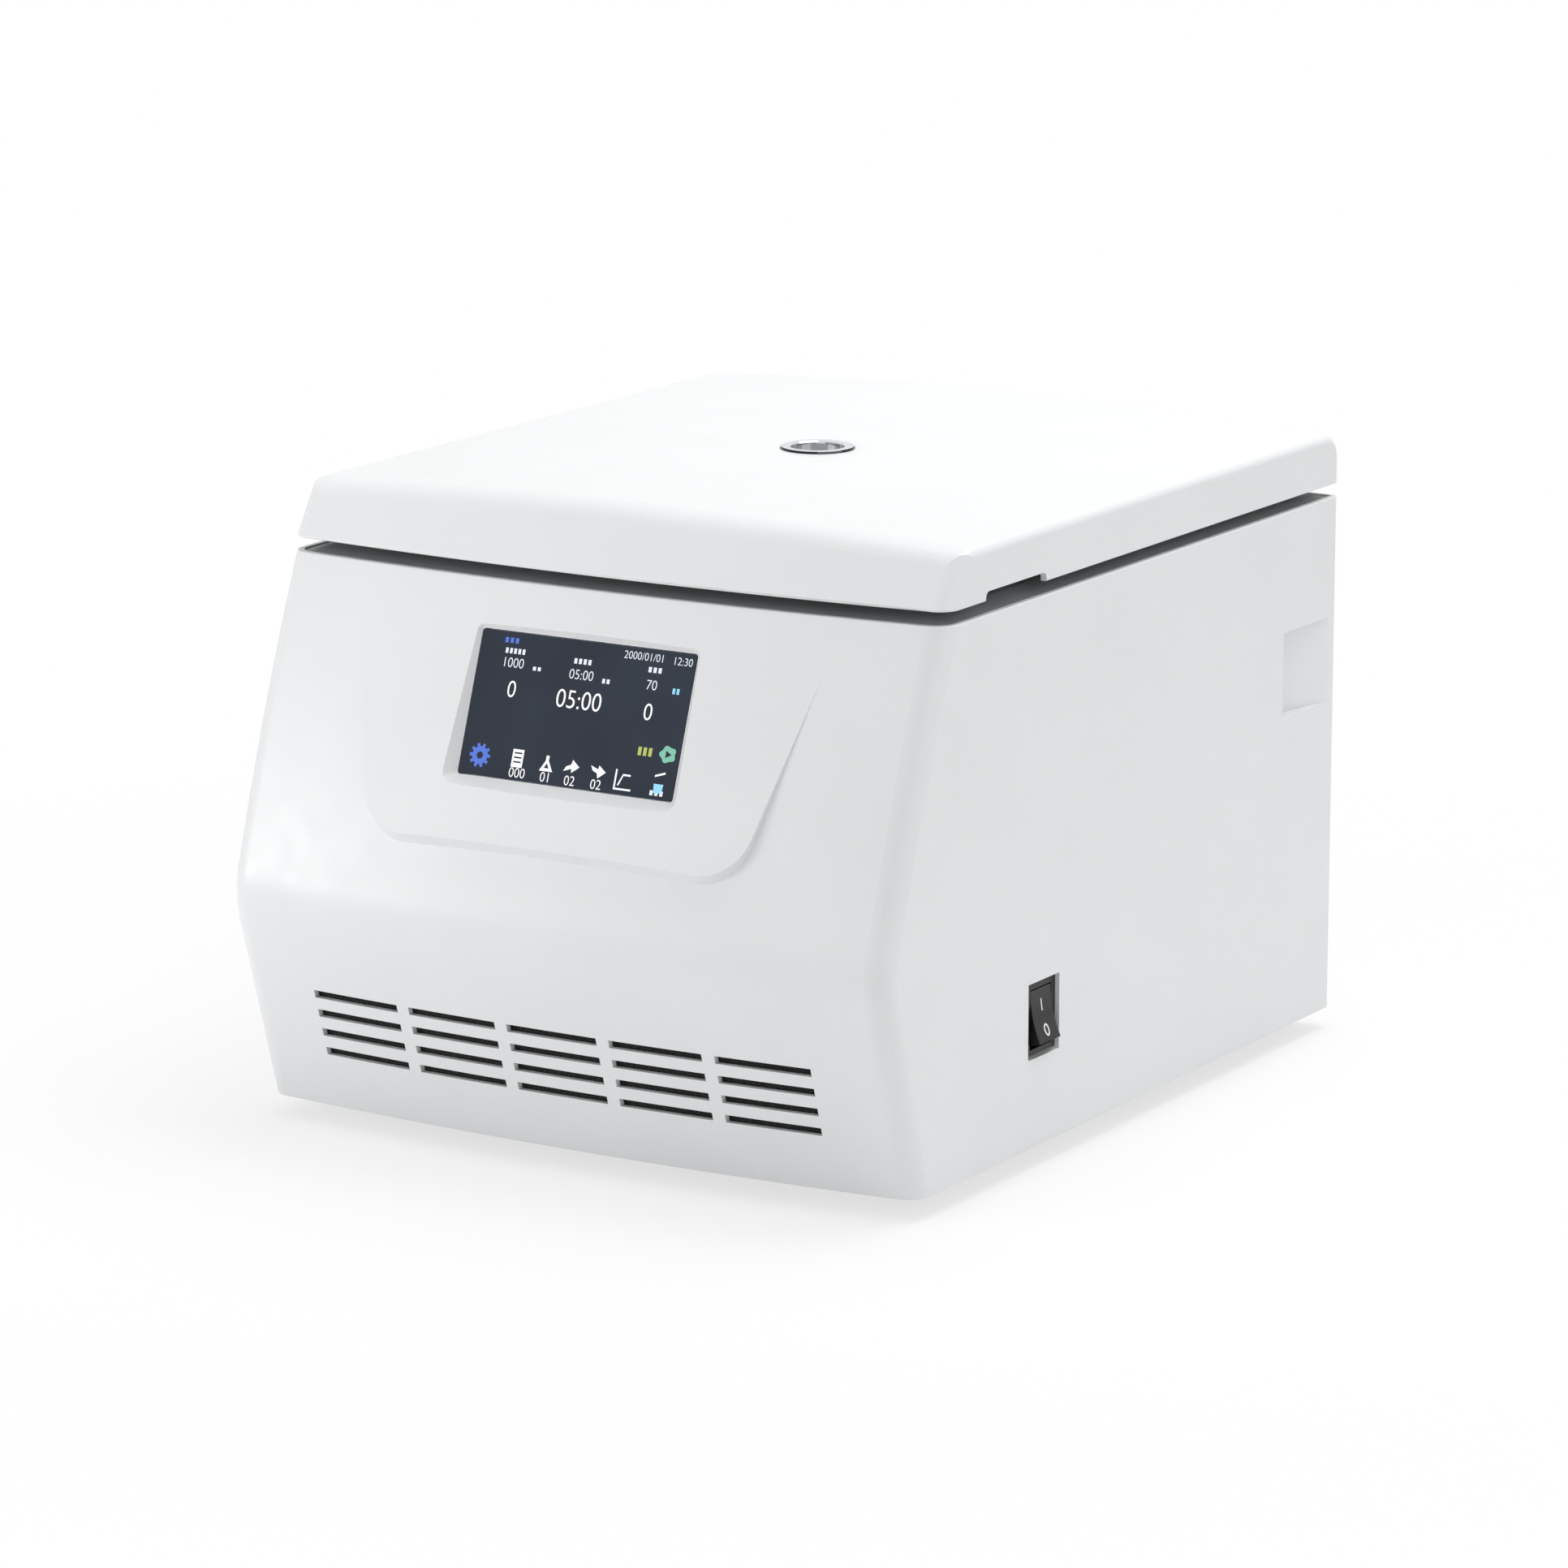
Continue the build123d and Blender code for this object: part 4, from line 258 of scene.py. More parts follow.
def raise_grain(tree, shader, height, depth_mm):
    """Bump of a height from 0 to 1 that is this deep in millimetres."""
    bump = add_node(tree, "ShaderNodeBump", {"Height": height, "Distance": depth_mm * MM, "Strength": 1.0})
    tree.links.new(bump.outputs["Normal"], shader.inputs["Normal"])


def around_rotor(tree):
    """Coordinates wound round the rotor's axis: metres along the turn, metres outwards, metres up."""
    place = add_node(tree, "ShaderNodeTexCoord").outputs["Object"]
    moved = add_node(tree, "ShaderNodeVectorMath", {0: place, 1: ROTOR_AXIS}, operation="SUBTRACT")
    parts = add_node(tree, "ShaderNodeSeparateXYZ", {"Vector": moved.outputs["Vector"]})
    turn = add_node(
        tree, "ShaderNodeMath", {0: parts.outputs["Y"], 1: parts.outputs["X"]}, operation="ARCTAN2"
    )
    flat = add_node(tree, "ShaderNodeCombineXYZ", {"X": parts.outputs["X"], "Y": parts.outputs["Y"]})
    radius = add_node(tree, "ShaderNodeVectorMath", {0: flat.outputs["Vector"]}, operation="LENGTH")
    along = add_node(
        tree, "ShaderNodeMath", {0: turn.outputs["Value"], 1: WINDING_RADIUS}, operation="MULTIPLY"
    )
    wound = add_node(
        tree, "ShaderNodeCombineXYZ",
        {"X": along.outputs["Value"], "Y": radius.outputs["Value"], "Z": parts.outputs["Z"]},
    )
    return wound.outputs["Vector"]


def dress(names, material):
    """Give CAD nodes a material in every slot."""
    for name in names:
        mesh = NODES[name].data
        if not mesh.materials:
            mesh.materials.append(material)
        for i in range(len(mesh.materials)):
            mesh.materials[i] = material


# ---------------------------------------------------------------- plastics and rubber
def white_abs(colour):
    """ABS moulded against a finely spark-eroded tool: an even off-white with soft, wide highlights."""
    material, tree, shader = surface("white_abs_moulded", {"IOR": 1.53, "Roughness": 0.36})
    tree.links.new(tinted(tree, noise(tree, 60.0), colour, 0.985), shader.inputs["Base Color"])
    tree.links.new(between(tree, noise(tree, 14.0), 0.33, 0.40), shader.inputs["Roughness"])
    raise_grain(tree, shader, noise(tree, 0.9, 3.0), 0.010)  # coarser than the real grain, so that it shows
    return material


def grained_abs(name, colour, roughness):
    """ABS moulded with a leathery matt grain: grey and even, it hides scratches and glare."""
    material, tree, shader = surface(name, {"IOR": 1.53, "Roughness": roughness})
    tree.links.new(tinted(tree, noise(tree, 25.0), colour, 0.96), shader.inputs["Base Color"])
    matt = between(tree, noise(tree, 3.0), roughness - 0.06, roughness + 0.06)
    tree.links.new(matt, shader.inputs["Roughness"])
    raise_grain(tree, shader, noise(tree, 1.1, 3.0, 0.6), 0.03)
    return material


def glossy_pbt(name, colour, roughness):
    """Glass-filled PBT from a polished tool: black with a light gloss and faint flow marks."""
    material, tree, shader = surface(name, {"IOR": 1.57, "Roughness": roughness, "Specular IOR Level": 0.25})
    flow = noise(tree, 4.0, stretch=(1.0, 1.0, 5.0))
    tree.links.new(tinted(tree, flow, colour, 0.85), shader.inputs["Base Color"])
    tree.links.new(between(tree, flow, roughness - 0.04, roughness + 0.06), shader.inputs["Roughness"])
    raise_grain(tree, shader, noise(tree, 0.6), 0.004)
    return material


def nitrile_rubber():
    """Moulded nitrile rubber: near black, dull, with a dusty bloom."""
    material, tree, shader = surface("nitrile_rubber_moulded", {"IOR": 1.52, "Roughness": 0.75})
    tree.links.new(tinted(tree, noise(tree, 6.0, 4.0), linear("#26272A"), 0.6), shader.inputs["Base Color"])
    raise_grain(tree, shader, noise(tree, 0.8, 4.0, 0.7), 0.03)
    return material


def filter_foam():
    """Open-cell polyurethane foam: black, with cells of about a millimetre and a half, painted darker in
    their hollow middles as shade.
    """
    material, tree, shader = surface("polyurethane_foam_open_cell", {"IOR": 1.5, "Roughness": 0.95})
    place = add_node(tree, "ShaderNodeTexCoord").outputs["Object"]
    cells = add_node(tree, "ShaderNodeTexVoronoi", {"Vector": place, "Scale": 1 / (1.5 * MM)})
    walls = cells.outputs["Distance"]
    # painted shade: each cell is darker towards its middle, where the bump makes its pore's hollow
    tree.links.new(tinted(tree, walls, linear("#1E1F20"), 0.2), shader.inputs["Base Color"])
    raise_grain(tree, shader, walls, 0.8)
    return material


def milky_polypropylene(colour):
    """Polypropylene, injection moulded: milky, waxy, and light shows through its thin walls."""
    material, tree, shader = surface(
        "polypropylene_natural_moulded",
        {"IOR": 1.49, "Roughness": 0.38, "Subsurface Weight": 0.35, "Subsurface Scale": 2 * MM},
    )
    tree.links.new(tinted(tree, noise(tree, 12.0), colour, 0.95), shader.inputs["Base Color"])
    raise_grain(tree, shader, noise(tree, 1.5), 0.01)
    return material


# ---------------------------------------------------------------- metals
def spun_steel():
    """Stainless steel, spun and then brushed on the lathe: bright, with fine rings round the axis."""
    material, tree, shader = surface("stainless_steel_spun", {"Metallic": 1.0, "Roughness": 0.28})
    rings = noise(tree, 0.7, 3.0, 0.6, stretch=(60.0, 1.0, 1.0), vector=around_rotor(tree))
    tree.links.new(tinted(tree, rings, linear("#D4D3D0"), 0.86), shader.inputs["Base Color"])
    tree.links.new(between(tree, rings, 0.22, 0.36), shader.inputs["Roughness"])
    raise_grain(tree, shader, rings, 0.012)
    return material


def turned_aluminium():
    """Aluminium, turned and clear anodised: pale satin silver with fine tool rings."""
    material, tree, shader = surface("anodised_aluminium_turned", {"Metallic": 1.0, "Roughness": 0.34})
    rings = noise(tree, 0.9, 2.0, stretch=(120.0, 1.0, 1.0), vector=around_rotor(tree))
    tree.links.new(tinted(tree, rings, linear("#DADBDC"), 0.9), shader.inputs["Base Color"])
    tree.links.new(between(tree, rings, 0.28, 0.40), shader.inputs["Roughness"])
    raise_grain(tree, shader, rings, 0.010)
    return material


def cast_aluminium():
    """Die-cast aluminium, shot blasted: dull grey with a fine sandy skin."""
    material, tree, shader = surface("die_cast_aluminium_blasted", {"Metallic": 1.0, "Roughness": 0.52})
    tree.links.new(tinted(tree, noise(tree, 9.0, 4.0), linear("#9C9EA0"), 0.8), shader.inputs["Base Color"])
    raise_grain(tree, shader, noise(tree, 0.9, 4.0, 0.7), 0.06)
    return material


def extruded_aluminium():
    """Extruded aluminium, mill finish: bright grey with lines along the press."""
    material, tree, shader = surface("aluminium_extruded", {"Metallic": 1.0, "Roughness": 0.36})
    lines = noise(tree, 0.6, 2.0, stretch=(1.0, 1.0, 80.0))
    tree.links.new(tinted(tree, lines, linear("#C9CBCD"), 0.85), shader.inputs["Base Color"])
    raise_grain(tree, shader, lines, 0.01)
    return material


def zinc_steel():
    """Cold-rolled steel, bright zinc plated: cool silver with faint cloudy spangles."""
    material, tree, shader = surface("steel_zinc_plated", {"Metallic": 1.0, "Roughness": 0.34})
    clouds = noise(tree, 7.0, 4.0, 0.6)
    tree.links.new(tinted(tree, clouds, linear("#BFC3C8"), 0.8), shader.inputs["Base Color"])
    tree.links.new(between(tree, clouds, 0.28, 0.44), shader.inputs["Roughness"])
    raise_grain(tree, shader, noise(tree, 1.2, 3.0), 0.006)
    return material


def ground_steel():
    """Stainless steel, centreless ground: bright, with hair-fine scratches."""
    material, tree, shader = surface("stainless_steel_ground", {"Metallic": 1.0, "Roughness": 0.2})
    scratches = noise(tree, 0.5, 3.0, stretch=(20.0, 1.0, 1.0))
    tree.links.new(tinted(tree, scratches, linear("#D8D8D6"), 0.88), shader.inputs["Base Color"])
    tree.links.new(between(tree, scratches, 0.16, 0.26), shader.inputs["Roughness"])
    return material


def chrome_wire():
    """Steel wire, welded and chrome plated: a cool mirror, a little uneven in gloss."""
    material, tree, shader = surface("steel_wire_chrome_plated", {"Metallic": 1.0, "Roughness": 0.06})
    tree.links.new(tinted(tree, noise(tree, 5.0), linear("#BFC2C6"), 0.96), shader.inputs["Base Color"])
    tree.links.new(between(tree, noise(tree, 2.0, 3.0), 0.045, 0.09), shader.inputs["Roughness"])
    return material


def turned_chrome():
    """Brass, turned and chrome plated: a bright flat mirror, with a painted dark reflection as a line round
    its bevelled edge.
    """
    material, tree, shader = surface("brass_turned_chrome_plated", {"Metallic": 1.0, "Roughness": 0.06})
    radius = add_node(tree, "ShaderNodeSeparateXYZ", {"Vector": around_rotor(tree)}).outputs["Y"]
    bevel, blend = (RING_HIGH.x - RING_LOW.x) / 2 - RING_BEVEL, 0.2 * MM
    # painted reflection: past the start of the bevelled edge the base colour falls to near black, as if the
    # chrome mirrored a dark room
    flat = between(tree, radius, 1.0, 0.0, bevel - blend, bevel + blend)
    tree.links.new(tinted(tree, flat, linear("#D2D5D9"), 0.04), shader.inputs["Base Color"])
    tree.links.new(between(tree, noise(tree, 2.0, 3.0), 0.045, 0.09), shader.inputs["Roughness"])
    return material


def powder_coat(colour):
    """Steel sheet, powder coated: light grey with a shallow orange peel."""
    material, tree, shader = surface("steel_powder_coated", {"IOR": 1.5, "Roughness": 0.45})
    tree.links.new(tinted(tree, noise(tree, 30.0), colour, 0.97), shader.inputs["Base Color"])
    raise_grain(tree, shader, noise(tree, 1.6, 2.0), 0.03)
    return material


# ---------------------------------------------------------------- glass and boards
def port_polycarbonate():
    """Polycarbonate disc, machined and flame polished: a grey smoke tint, so the chamber shows dimly."""
    material, tree, shader = surface(
        "polycarbonate_smoked",
        {"IOR": 1.585, "Roughness": 0.03, "Transmission Weight": 1.0, "Specular IOR Level": 0.5},
    )
    tree.links.new(tinted(tree, noise(tree, 9.0), linear("#5A5D61"), 0.97), shader.inputs["Base Color"])
    return material


def screen_glass(colour):
    """Cover glass over a lit display: a dark blue-grey ground that glows a little, softly uneven."""
    material, tree, shader = surface(
        "display_cover_glass",
        {"IOR": 1.52, "Roughness": 0.12, "Specular IOR Level": 0.08, "Emission Strength": 1.0},
    )
    glow = noise(tree, 45.0, 1.0)
    tree.links.new(tinted(tree, glow, scaled(colour, 0.1), 0.8), shader.inputs["Base Color"])
    tree.links.new(tinted(tree, glow, scaled(colour, 0.62), 0.8), shader.inputs["Emission Color"])
    return material


def circuit_board(colour):
    """Glass-epoxy laminate under green solder mask, with tracks showing through as lighter lines."""
    material, tree, shader = surface("glass_epoxy_solder_mask", {"IOR": 1.5, "Roughness": 0.25})
    place = add_node(tree, "ShaderNodeTexCoord").outputs["Object"]
    tracks = add_node(
        tree, "ShaderNodeTexBrick", {"Vector": place, "Scale": 1 / (9 * MM), "Mortar Size": 0.03}
    )
    tree.links.new(tinted(tree, tracks.outputs["Fac"], colour, 1.9), shader.inputs["Base Color"])
    raise_grain(tree, shader, tracks.outputs["Fac"], 0.05)
    return material


def pressed_case():
    """Tin-plated steel can of the display: soft silver with a pressed grain."""
    material, tree, shader = surface("steel_tin_plated", {"Metallic": 1.0, "Roughness": 0.42})
    tree.links.new(tinted(tree, noise(tree, 4.0, 3.0), linear("#AEB0B2"), 0.85), shader.inputs["Base Color"])
    return material


def lit_ink(name, colour):
    """Lit pixels of the display: flat, bright colour with no shading of its own."""
    material, tree, shader = surface(name, {"Roughness": 0.2, "Emission Strength": 1.0})
    pixels = noise(tree, 0.6, 1.0)
    tree.links.new(tinted(tree, pixels, scaled(colour, 0.2), 0.9), shader.inputs["Base Color"])
    tree.links.new(tinted(tree, pixels, colour, 0.9), shader.inputs["Emission Color"])
    return material


def mark_paint(colour):
    """Pad-printed epoxy ink: white and slightly glossy, a little uneven in strength."""
    material, tree, shader = surface("epoxy_ink_printed", {"IOR": 1.5, "Roughness": 0.4})
    tree.links.new(tinted(tree, noise(tree, 0.7, 3.0), colour, 0.92), shader.inputs["Base Color"])
    return material


# ---------------------------------------------------------------- mesh tools
def new_piece(name, mesh, material, body):
    """Object of a finished mesh, with this material, that rides on a body."""
    mesh.name = name
    mesh.materials.clear()
    mesh.materials.append(material)
    piece = bpy.data.objects.new(name, mesh)
    bpy.context.scene.collection.objects.link(piece)
    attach(piece, body)


def outline_mesh(loops, depth):
    """Flat shape cut from closed loops of (x, y), where an inner loop is a hole, thickened to a depth."""
    curve = bpy.data.curves.new("outline", "CURVE")
    curve.dimensions = "2D"
    curve.fill_mode = "BOTH"
    curve.extrude = depth / 2
    for loop in loops:
        spline = curve.splines.new("POLY")
        spline.points.add(len(loop) - 1)
        for point, (x, y) in zip(spline.points, loop):
            point.co = (x, y, 0, 1)
        spline.use_cyclic_u = True
    return curve_mesh(curve)


def curve_mesh(curve):
    """Mesh of a curve or text; the curve is removed."""
    holder = bpy.data.objects.new("holder", curve)
    bpy.context.scene.collection.objects.link(holder)
    bpy.context.view_layer.update()
    shown = holder.evaluated_get(bpy.context.evaluated_depsgraph_get())
    mesh = bpy.data.meshes.new_from_object(shown)
    bpy.data.objects.remove(holder)
    return mesh


def number_mesh(digits, height, depth):
    """Thin digits of a given height, centred on the origin."""
    text = bpy.data.curves.new("digits", "FONT")
    text.body = digits
    text.size = height / DIGIT_SHARE
    text.align_x = "CENTER"
    text.align_y = "CENTER"
    text.extrude = depth / 2
    text.offset = -DIGIT_THINNING * height
    return curve_mesh(text)


def joined(parts):
    """One mesh of (mesh, matrix) pairs; the parts are removed."""
    whole = bmesh.new()
    for mesh, matrix in parts:
        mesh.transform(matrix)
        whole.from_mesh(mesh)
        bpy.data.meshes.remove(mesh)
    mesh = bpy.data.meshes.new("joined")
    whole.to_mesh(mesh)
    whole.free()
    return mesh


def front_plane(node):
    """Matrix in the middle of a node's front face (X to the right, Z outwards), with its width and height."""
    mesh = NODES[node].data
    normal = Vector()
    for face in mesh.polygons:
        if face.normal.y < -0.5:  # it looks more forwards than to a side, up or down
            normal += face.normal * face.area
    normal.normalize()
    reach = max(vertex.co.dot(normal) for vertex in mesh.vertices)
    near = [vertex.co for vertex in mesh.vertices if vertex.co.dot(normal) > reach - FLAT_TOLERANCE]
    low = Vector(min(point[i] for point in near) for i in range(3))
    high = Vector(max(point[i] for point in near) for i in range(3))
    across = Vector((1, 0, 0))
    up = normal.cross(across)
    matrix = Matrix((across, up, normal)).transposed().to_4x4()
    matrix.translation = (low + high) / 2
    return matrix, high.x - low.x, (high - low).dot(up)


# ---------------------------------------------------------------- picture on the screen
def circle(radius, count=32):
    """Closed loop of points round the origin."""
    turns = [2 * math.pi * i / count for i in range(count)]
    return [(radius * math.cos(turn), radius * math.sin(turn)) for turn in turns]


def rectangle(x0, y0, x1, y1):
    """Closed loop of four corners."""
    return [(x0, y0), (x1, y0), (x1, y1), (x0, y1)]


def gear_loops(radius, teeth=10):
    """Gear with square teeth and a round hole."""
    tooth = ((-0.30, 0.74), (-0.20, 1.0), (0.20, 1.0), (0.30, 0.74))  # shares of the pitch and the radius
    rim = []
    for i in range(teeth):
        for step, reach in tooth:
            angle = 2 * math.pi * (i + step) / teeth
            rim.append((reach * radius * math.cos(angle), reach * radius * math.sin(angle)))
    return [rim, circle(0.30 * radius)]


def sheet_loops(size):
    """Page with three ruled lines."""
    half, line = size / 2, 0.09 * size
    tops = (0.34 * size, 0.09 * size, -0.16 * size)
    lines = [rectangle(-0.5 * half, top - line, 0.5 * half, top) for top in tops]
    return [rectangle(-0.72 * half, -half, 0.72 * half, half)] + lines


def flask_loops(size):
    """Cone flask with a window."""
    half = size / 2
    rim = [(-half, -half), (half, -half), (0.22 * half, 0.35 * half), (0.22 * half, half),
           (-0.22 * half, half), (-0.22 * half, 0.35 * half)]
    return [rim, [(-0.38 * half, -0.6 * half), (0.38 * half, -0.6 * half), (0, 0.05 * half)]]


def arrow_loops(size, lift):
    """Swept arrow that rises with a lift of 1 and falls with -1."""
    half = size / 2
    points = [(-half, -0.5 * half), (-0.7 * half, 0.05 * half), (-0.1 * half, 0.3 * half),
              (0.05 * half, 0.85 * half), (half, 0.1 * half), (0.05 * half, -0.6 * half),
              (0.0, -0.15 * half), (-0.45 * half, -0.3 * half)]
    return [[(x, lift * y) for x, y in points]]


def ramp_loops(size):
    """Axes with a line that climbs and levels."""
    half, line = size / 2, 0.09 * size
    axes = [(-half, half), (-half, -half), (half, -half), (half, -half + line),
            (-half + line, -half + line), (-half + line, half)]
    climb = [(-0.45 * half, -0.55 * half), (-0.05 * half, 0.42 * half), (0.75 * half, 0.42 * half),
             (0.75 * half, 0.42 * half + line), (-0.12 * half, 0.42 * half + line),
             (-0.45 * half - line, -0.55 * half)]
    return [axes, climb]


def open_box_loops(size):
    """Box, and apart from it its raised lid."""
    half = size / 2
    box = [(-0.6 * half, 0), (0.6 * half, 0), (0.5 * half, -half), (-0.5 * half, -half)]
    lid = [(-0.65 * half, 0.35 * half), (0.6 * half, 0.75 * half), (0.62 * half, 0.98 * half),
           (-0.6 * half, 0.58 * half)]
    return [box], [lid]


def start_loops(size):
    """Rounded stone with five sides and a triangle cut in it."""
    half, count, sides = size / 2, 40, 5
    rim = []
    for i in range(count):
        turn = 2 * math.pi * i / count
        ripple = math.cos(sides * turn)
        rim.append((half * (1 - 0.12 * ripple) * math.cos(turn),
                    0.9 * half * (1 - 0.10 * ripple) * math.sin(turn)))
    return [rim, [(-0.28 * half, -0.42 * half), (0.48 * half, 0), (-0.28 * half, 0.42 * half)]]


class CYTO_OT_screen(bpy.types.Operator):
    """Light the screen: glass, three readings, set values and a row of pictograms"""

    bl_idname = "cyto.screen"
    bl_label = "Screen"

    def execute(self, context):
        look = context.scene.cyto_screen
        plane, wide, tall = front_plane("touchscreen_glass")
        depth = look.depth
        dress(["touchscreen_glass"], screen_glass(look.ground))

        def at(x, y, squeeze=1.0):
            """Place at shares of the screen's width and height, from its left and top edges."""
            spot = Matrix.Translation(((x - 0.5) * wide, (0.5 - y) * tall, depth / 2 + PICTURE_LIFT))
            return plane @ spot @ Matrix.Diagonal((squeeze, 1.0, 1.0, 1.0))

        def digits(text, height, x, y):
            """Number at a place."""
            return number_mesh(text, height, depth), at(x, y, look.narrow)

        def drawn(loops, x, y):
            """Pictogram at a place."""
            return outline_mesh(loops, depth), at(x, y)

        def cells(count, wide_mm, tall_mm, x, y):
            """Row of blank cells where a word would stand."""
            pitch = wide_mm * MM / count
            top = tall_mm / 2 * MM
            starts = [i * pitch - wide_mm * MM / 2 for i in range(count)]
            return drawn([rectangle(start, -top, start + CELL_SHARE * pitch, top) for start in starts], x, y)

        def layer(name, parts, colour):
            """One piece for all that is lit in a colour."""
            ink = lit_ink("display_pixels_" + name, colour)
            new_piece("screen_" + name, joined(parts), ink, "base")

        big, small = look.big_digit, look.small_digit
        box, box_lid = open_box_loops(9.6 * MM)
        layer("white", [
            digits("0", big, 0.18, 0.394), digits("05:00", 1.1 * big, 0.498, 0.412),
            digits("0", big, 0.822, 0.429),
            digits("000", small, 0.273, 0.952), digits("01", small, 0.407, 0.955),
            digits("02", small, 0.520, 0.957), digits("02", small, 0.643, 0.958),
            drawn(sheet_loops(9.4 * MM), 0.265, 0.850), drawn(flask_loops(8.2 * MM), 0.404, 0.858),
            drawn(arrow_loops(9.4 * MM, 1), 0.520, 0.862), drawn(arrow_loops(9.4 * MM, -1), 0.644, 0.860),
            drawn(ramp_loops(10.6 * MM), 0.765, 0.900), drawn(box_lid, 0.928, 0.872),
        ], look.ink)
        layer("pale", [
            digits("1000", small, 0.165, 0.212), digits("05:00", small, 0.489, 0.236),
            digits("70", small, 0.817, 0.244), digits("12:30", 0.8 * small, 0.940, 0.062),
            digits("2000/01/01", 0.8 * small, 0.762, 0.058),
            cells(5, 13.0, 2.8, 0.170, 0.128), cells(4, 11.5, 2.8, 0.489, 0.142),
            cells(3, 9.0, 2.8, 0.825, 0.138), cells(2, 6.0, 2.0, 0.284, 0.230),
            cells(2, 5.5, 2.4, 0.610, 0.255), cells(3, 9.0, 2.6, 0.928, 0.958),
        ], look.pale_ink)
        layer("blue", [
            drawn(gear_loops(6.4 * MM), 0.088, 0.862), cells(3, 9.5, 2.8, 0.147, 0.057),
        ], look.gear)
        layer("green", [drawn(start_loops(9.4 * MM), 0.946, 0.690)], look.go)
        layer("ready", [cells(3, 9.6, 4.4, 0.845, 0.690)], look.ready)
        layer("cyan", [drawn(box, 0.928, 0.895), cells(2, 5.0, 3.0, 0.935, 0.263)], look.box)
        return {"FINISHED"}


# ---------------------------------------------------------------- switch
class CYTO_OT_switch(bpy.types.Operator):
    """Finish the power switch and print its on and off marks on the rocker"""

    bl_idname = "cyto.switch"
    bl_label = "Power switch"

    def execute(self, context):
        colours, marks = context.scene.cyto_finish, context.scene.cyto_marks
        dress(["switch_body"], glossy_pbt("pbt_black_moulded", colours.switch, 0.32))
        dress(["switch_rocker"], glossy_pbt("pbt_rocker_moulded", colours.rocker, 0.28))
        rocker = NODES["switch_rocker"].data
        skin = BVHTree.FromPolygons([v.co for v in rocker.vertices], [p.vertices for p in rocker.polygons])
        half, line = marks.size / 2, marks.line
        on_mark = [rectangle(-line / 2, -half, line / 2, half)]
        off_mark = [[(0.78 * x, y) for x, y in circle(half, 40)],
                    [(0.62 * x, y) for x, y in circle(half - line, 40)]]
        meshes = []
        for side, loops in ((1, on_mark), (-1, off_mark)):
            mesh = outline_mesh(loops, MARK_DEPTH)
            cut = bmesh.new()
            cut.from_mesh(mesh)
            long_edges = [edge for edge in cut.edges if edge.calc_length() > MARK_EDGE]
            bmesh.ops.subdivide_edges(cut, edges=long_edges, cuts=MARK_CUTS)
            cut.to_mesh(mesh)
            cut.free()
            for vertex in mesh.vertices:
                x, y, lift = vertex.co
                start = ROCKER_PIVOT + Vector((RAY_START, x, side * marks.spread + y))
                hit = skin.ray_cast(start, Vector((-1, 0, 0)))[0]
                vertex.co = hit + Vector((lift + MARK_LIFT, 0, 0))
            meshes.append((mesh, Matrix.Identity(4)))
        new_piece("rocker_marks", joined(meshes), mark_paint(marks.ink), "rocker")
        return {"FINISHED"}


# ---------------------------------------------------------------- finishes of the CAD pieces
class CYTO_OT_housing(bpy.types.Operator):
    """Finish the housing, the lid, the deck and the liner"""

    bl_idname = "cyto.housing"
    bl_label = "Housing and lid"

    def execute(self, context):
        colours = context.scene.cyto_finish
        dress(["housing_shell", "lid_shell"], white_abs(colours.housing))
        dress(["work_deck"], grained_abs("deck_abs_grained", colours.deck, 0.5))
        dress(["lid_liner"], grained_abs("liner_abs_grained", colours.liner, 0.55))
        dress(["window_ring"], turned_chrome())
        dress(["window_pane"], port_polycarbonate())
        return {"FINISHED"}


class CYTO_OT_chamber(bpy.types.Operator):
    """Finish the bowl, the rotor, the carriers and their funnels"""

    bl_idname = "cyto.chamber"
    bl_label = "Chamber and rotor"

    def execute(self, context):
        colours = context.scene.cyto_finish
        dress(["chamber_bowl"], spun_steel())
        dress(["rotor_head"], turned_aluminium())
        dress(["rotor_knob"], glossy_pbt("knob_pbt_moulded", colours.switch, 0.36))
        carriers = [name for name in NODES if name.startswith("carrier_")]  # the pins are among them
        funnels = [name for name in NODES if name.startswith("funnel_")]
        dress(["motor_shaft"] + carriers, ground_steel())
        dress(funnels, milky_polypropylene(colours.funnel))
        return {"FINISHED"}


class CYTO_OT_drive(bpy.types.Operator):
    """Finish the base plate, the frame, the motor and the seals"""

    bl_idname = "cyto.drive"
    bl_label = "Base and drive"

    def execute(self, context):
        dress(["base_plate", "guard_ring", "motor_plate"], zinc_steel())
        dress(["motor_housing"], cast_aluminium())
        dress(["frame_posts", "heat_sink"], extruded_aluminium())
        dress(["feet", "chamber_gasket", "shaft_seal", "motor_dampers", "lid_buffers"], nitrile_rubber())
        return {"FINISHED"}


class CYTO_OT_hardware(bpy.types.Operator):
    """Finish the hinges, the latch and the screws"""

    bl_idname = "cyto.hardware"
    bl_label = "Hinges, latch and screws"

    def execute(self, context):
        plated = zinc_steel()
        dress(["hinge_brackets", "lid_hinge_arms", "latch_bracket", "latch_solenoid"], plated)
        dress(["board_standoffs", "foot_screws", "lid_screws", "deck_screws", "rear_panel_screws"], plated)
        dress(["hinge_pins", "latch_bolt", "lid_striker"], ground_steel())
        return {"FINISHED"}


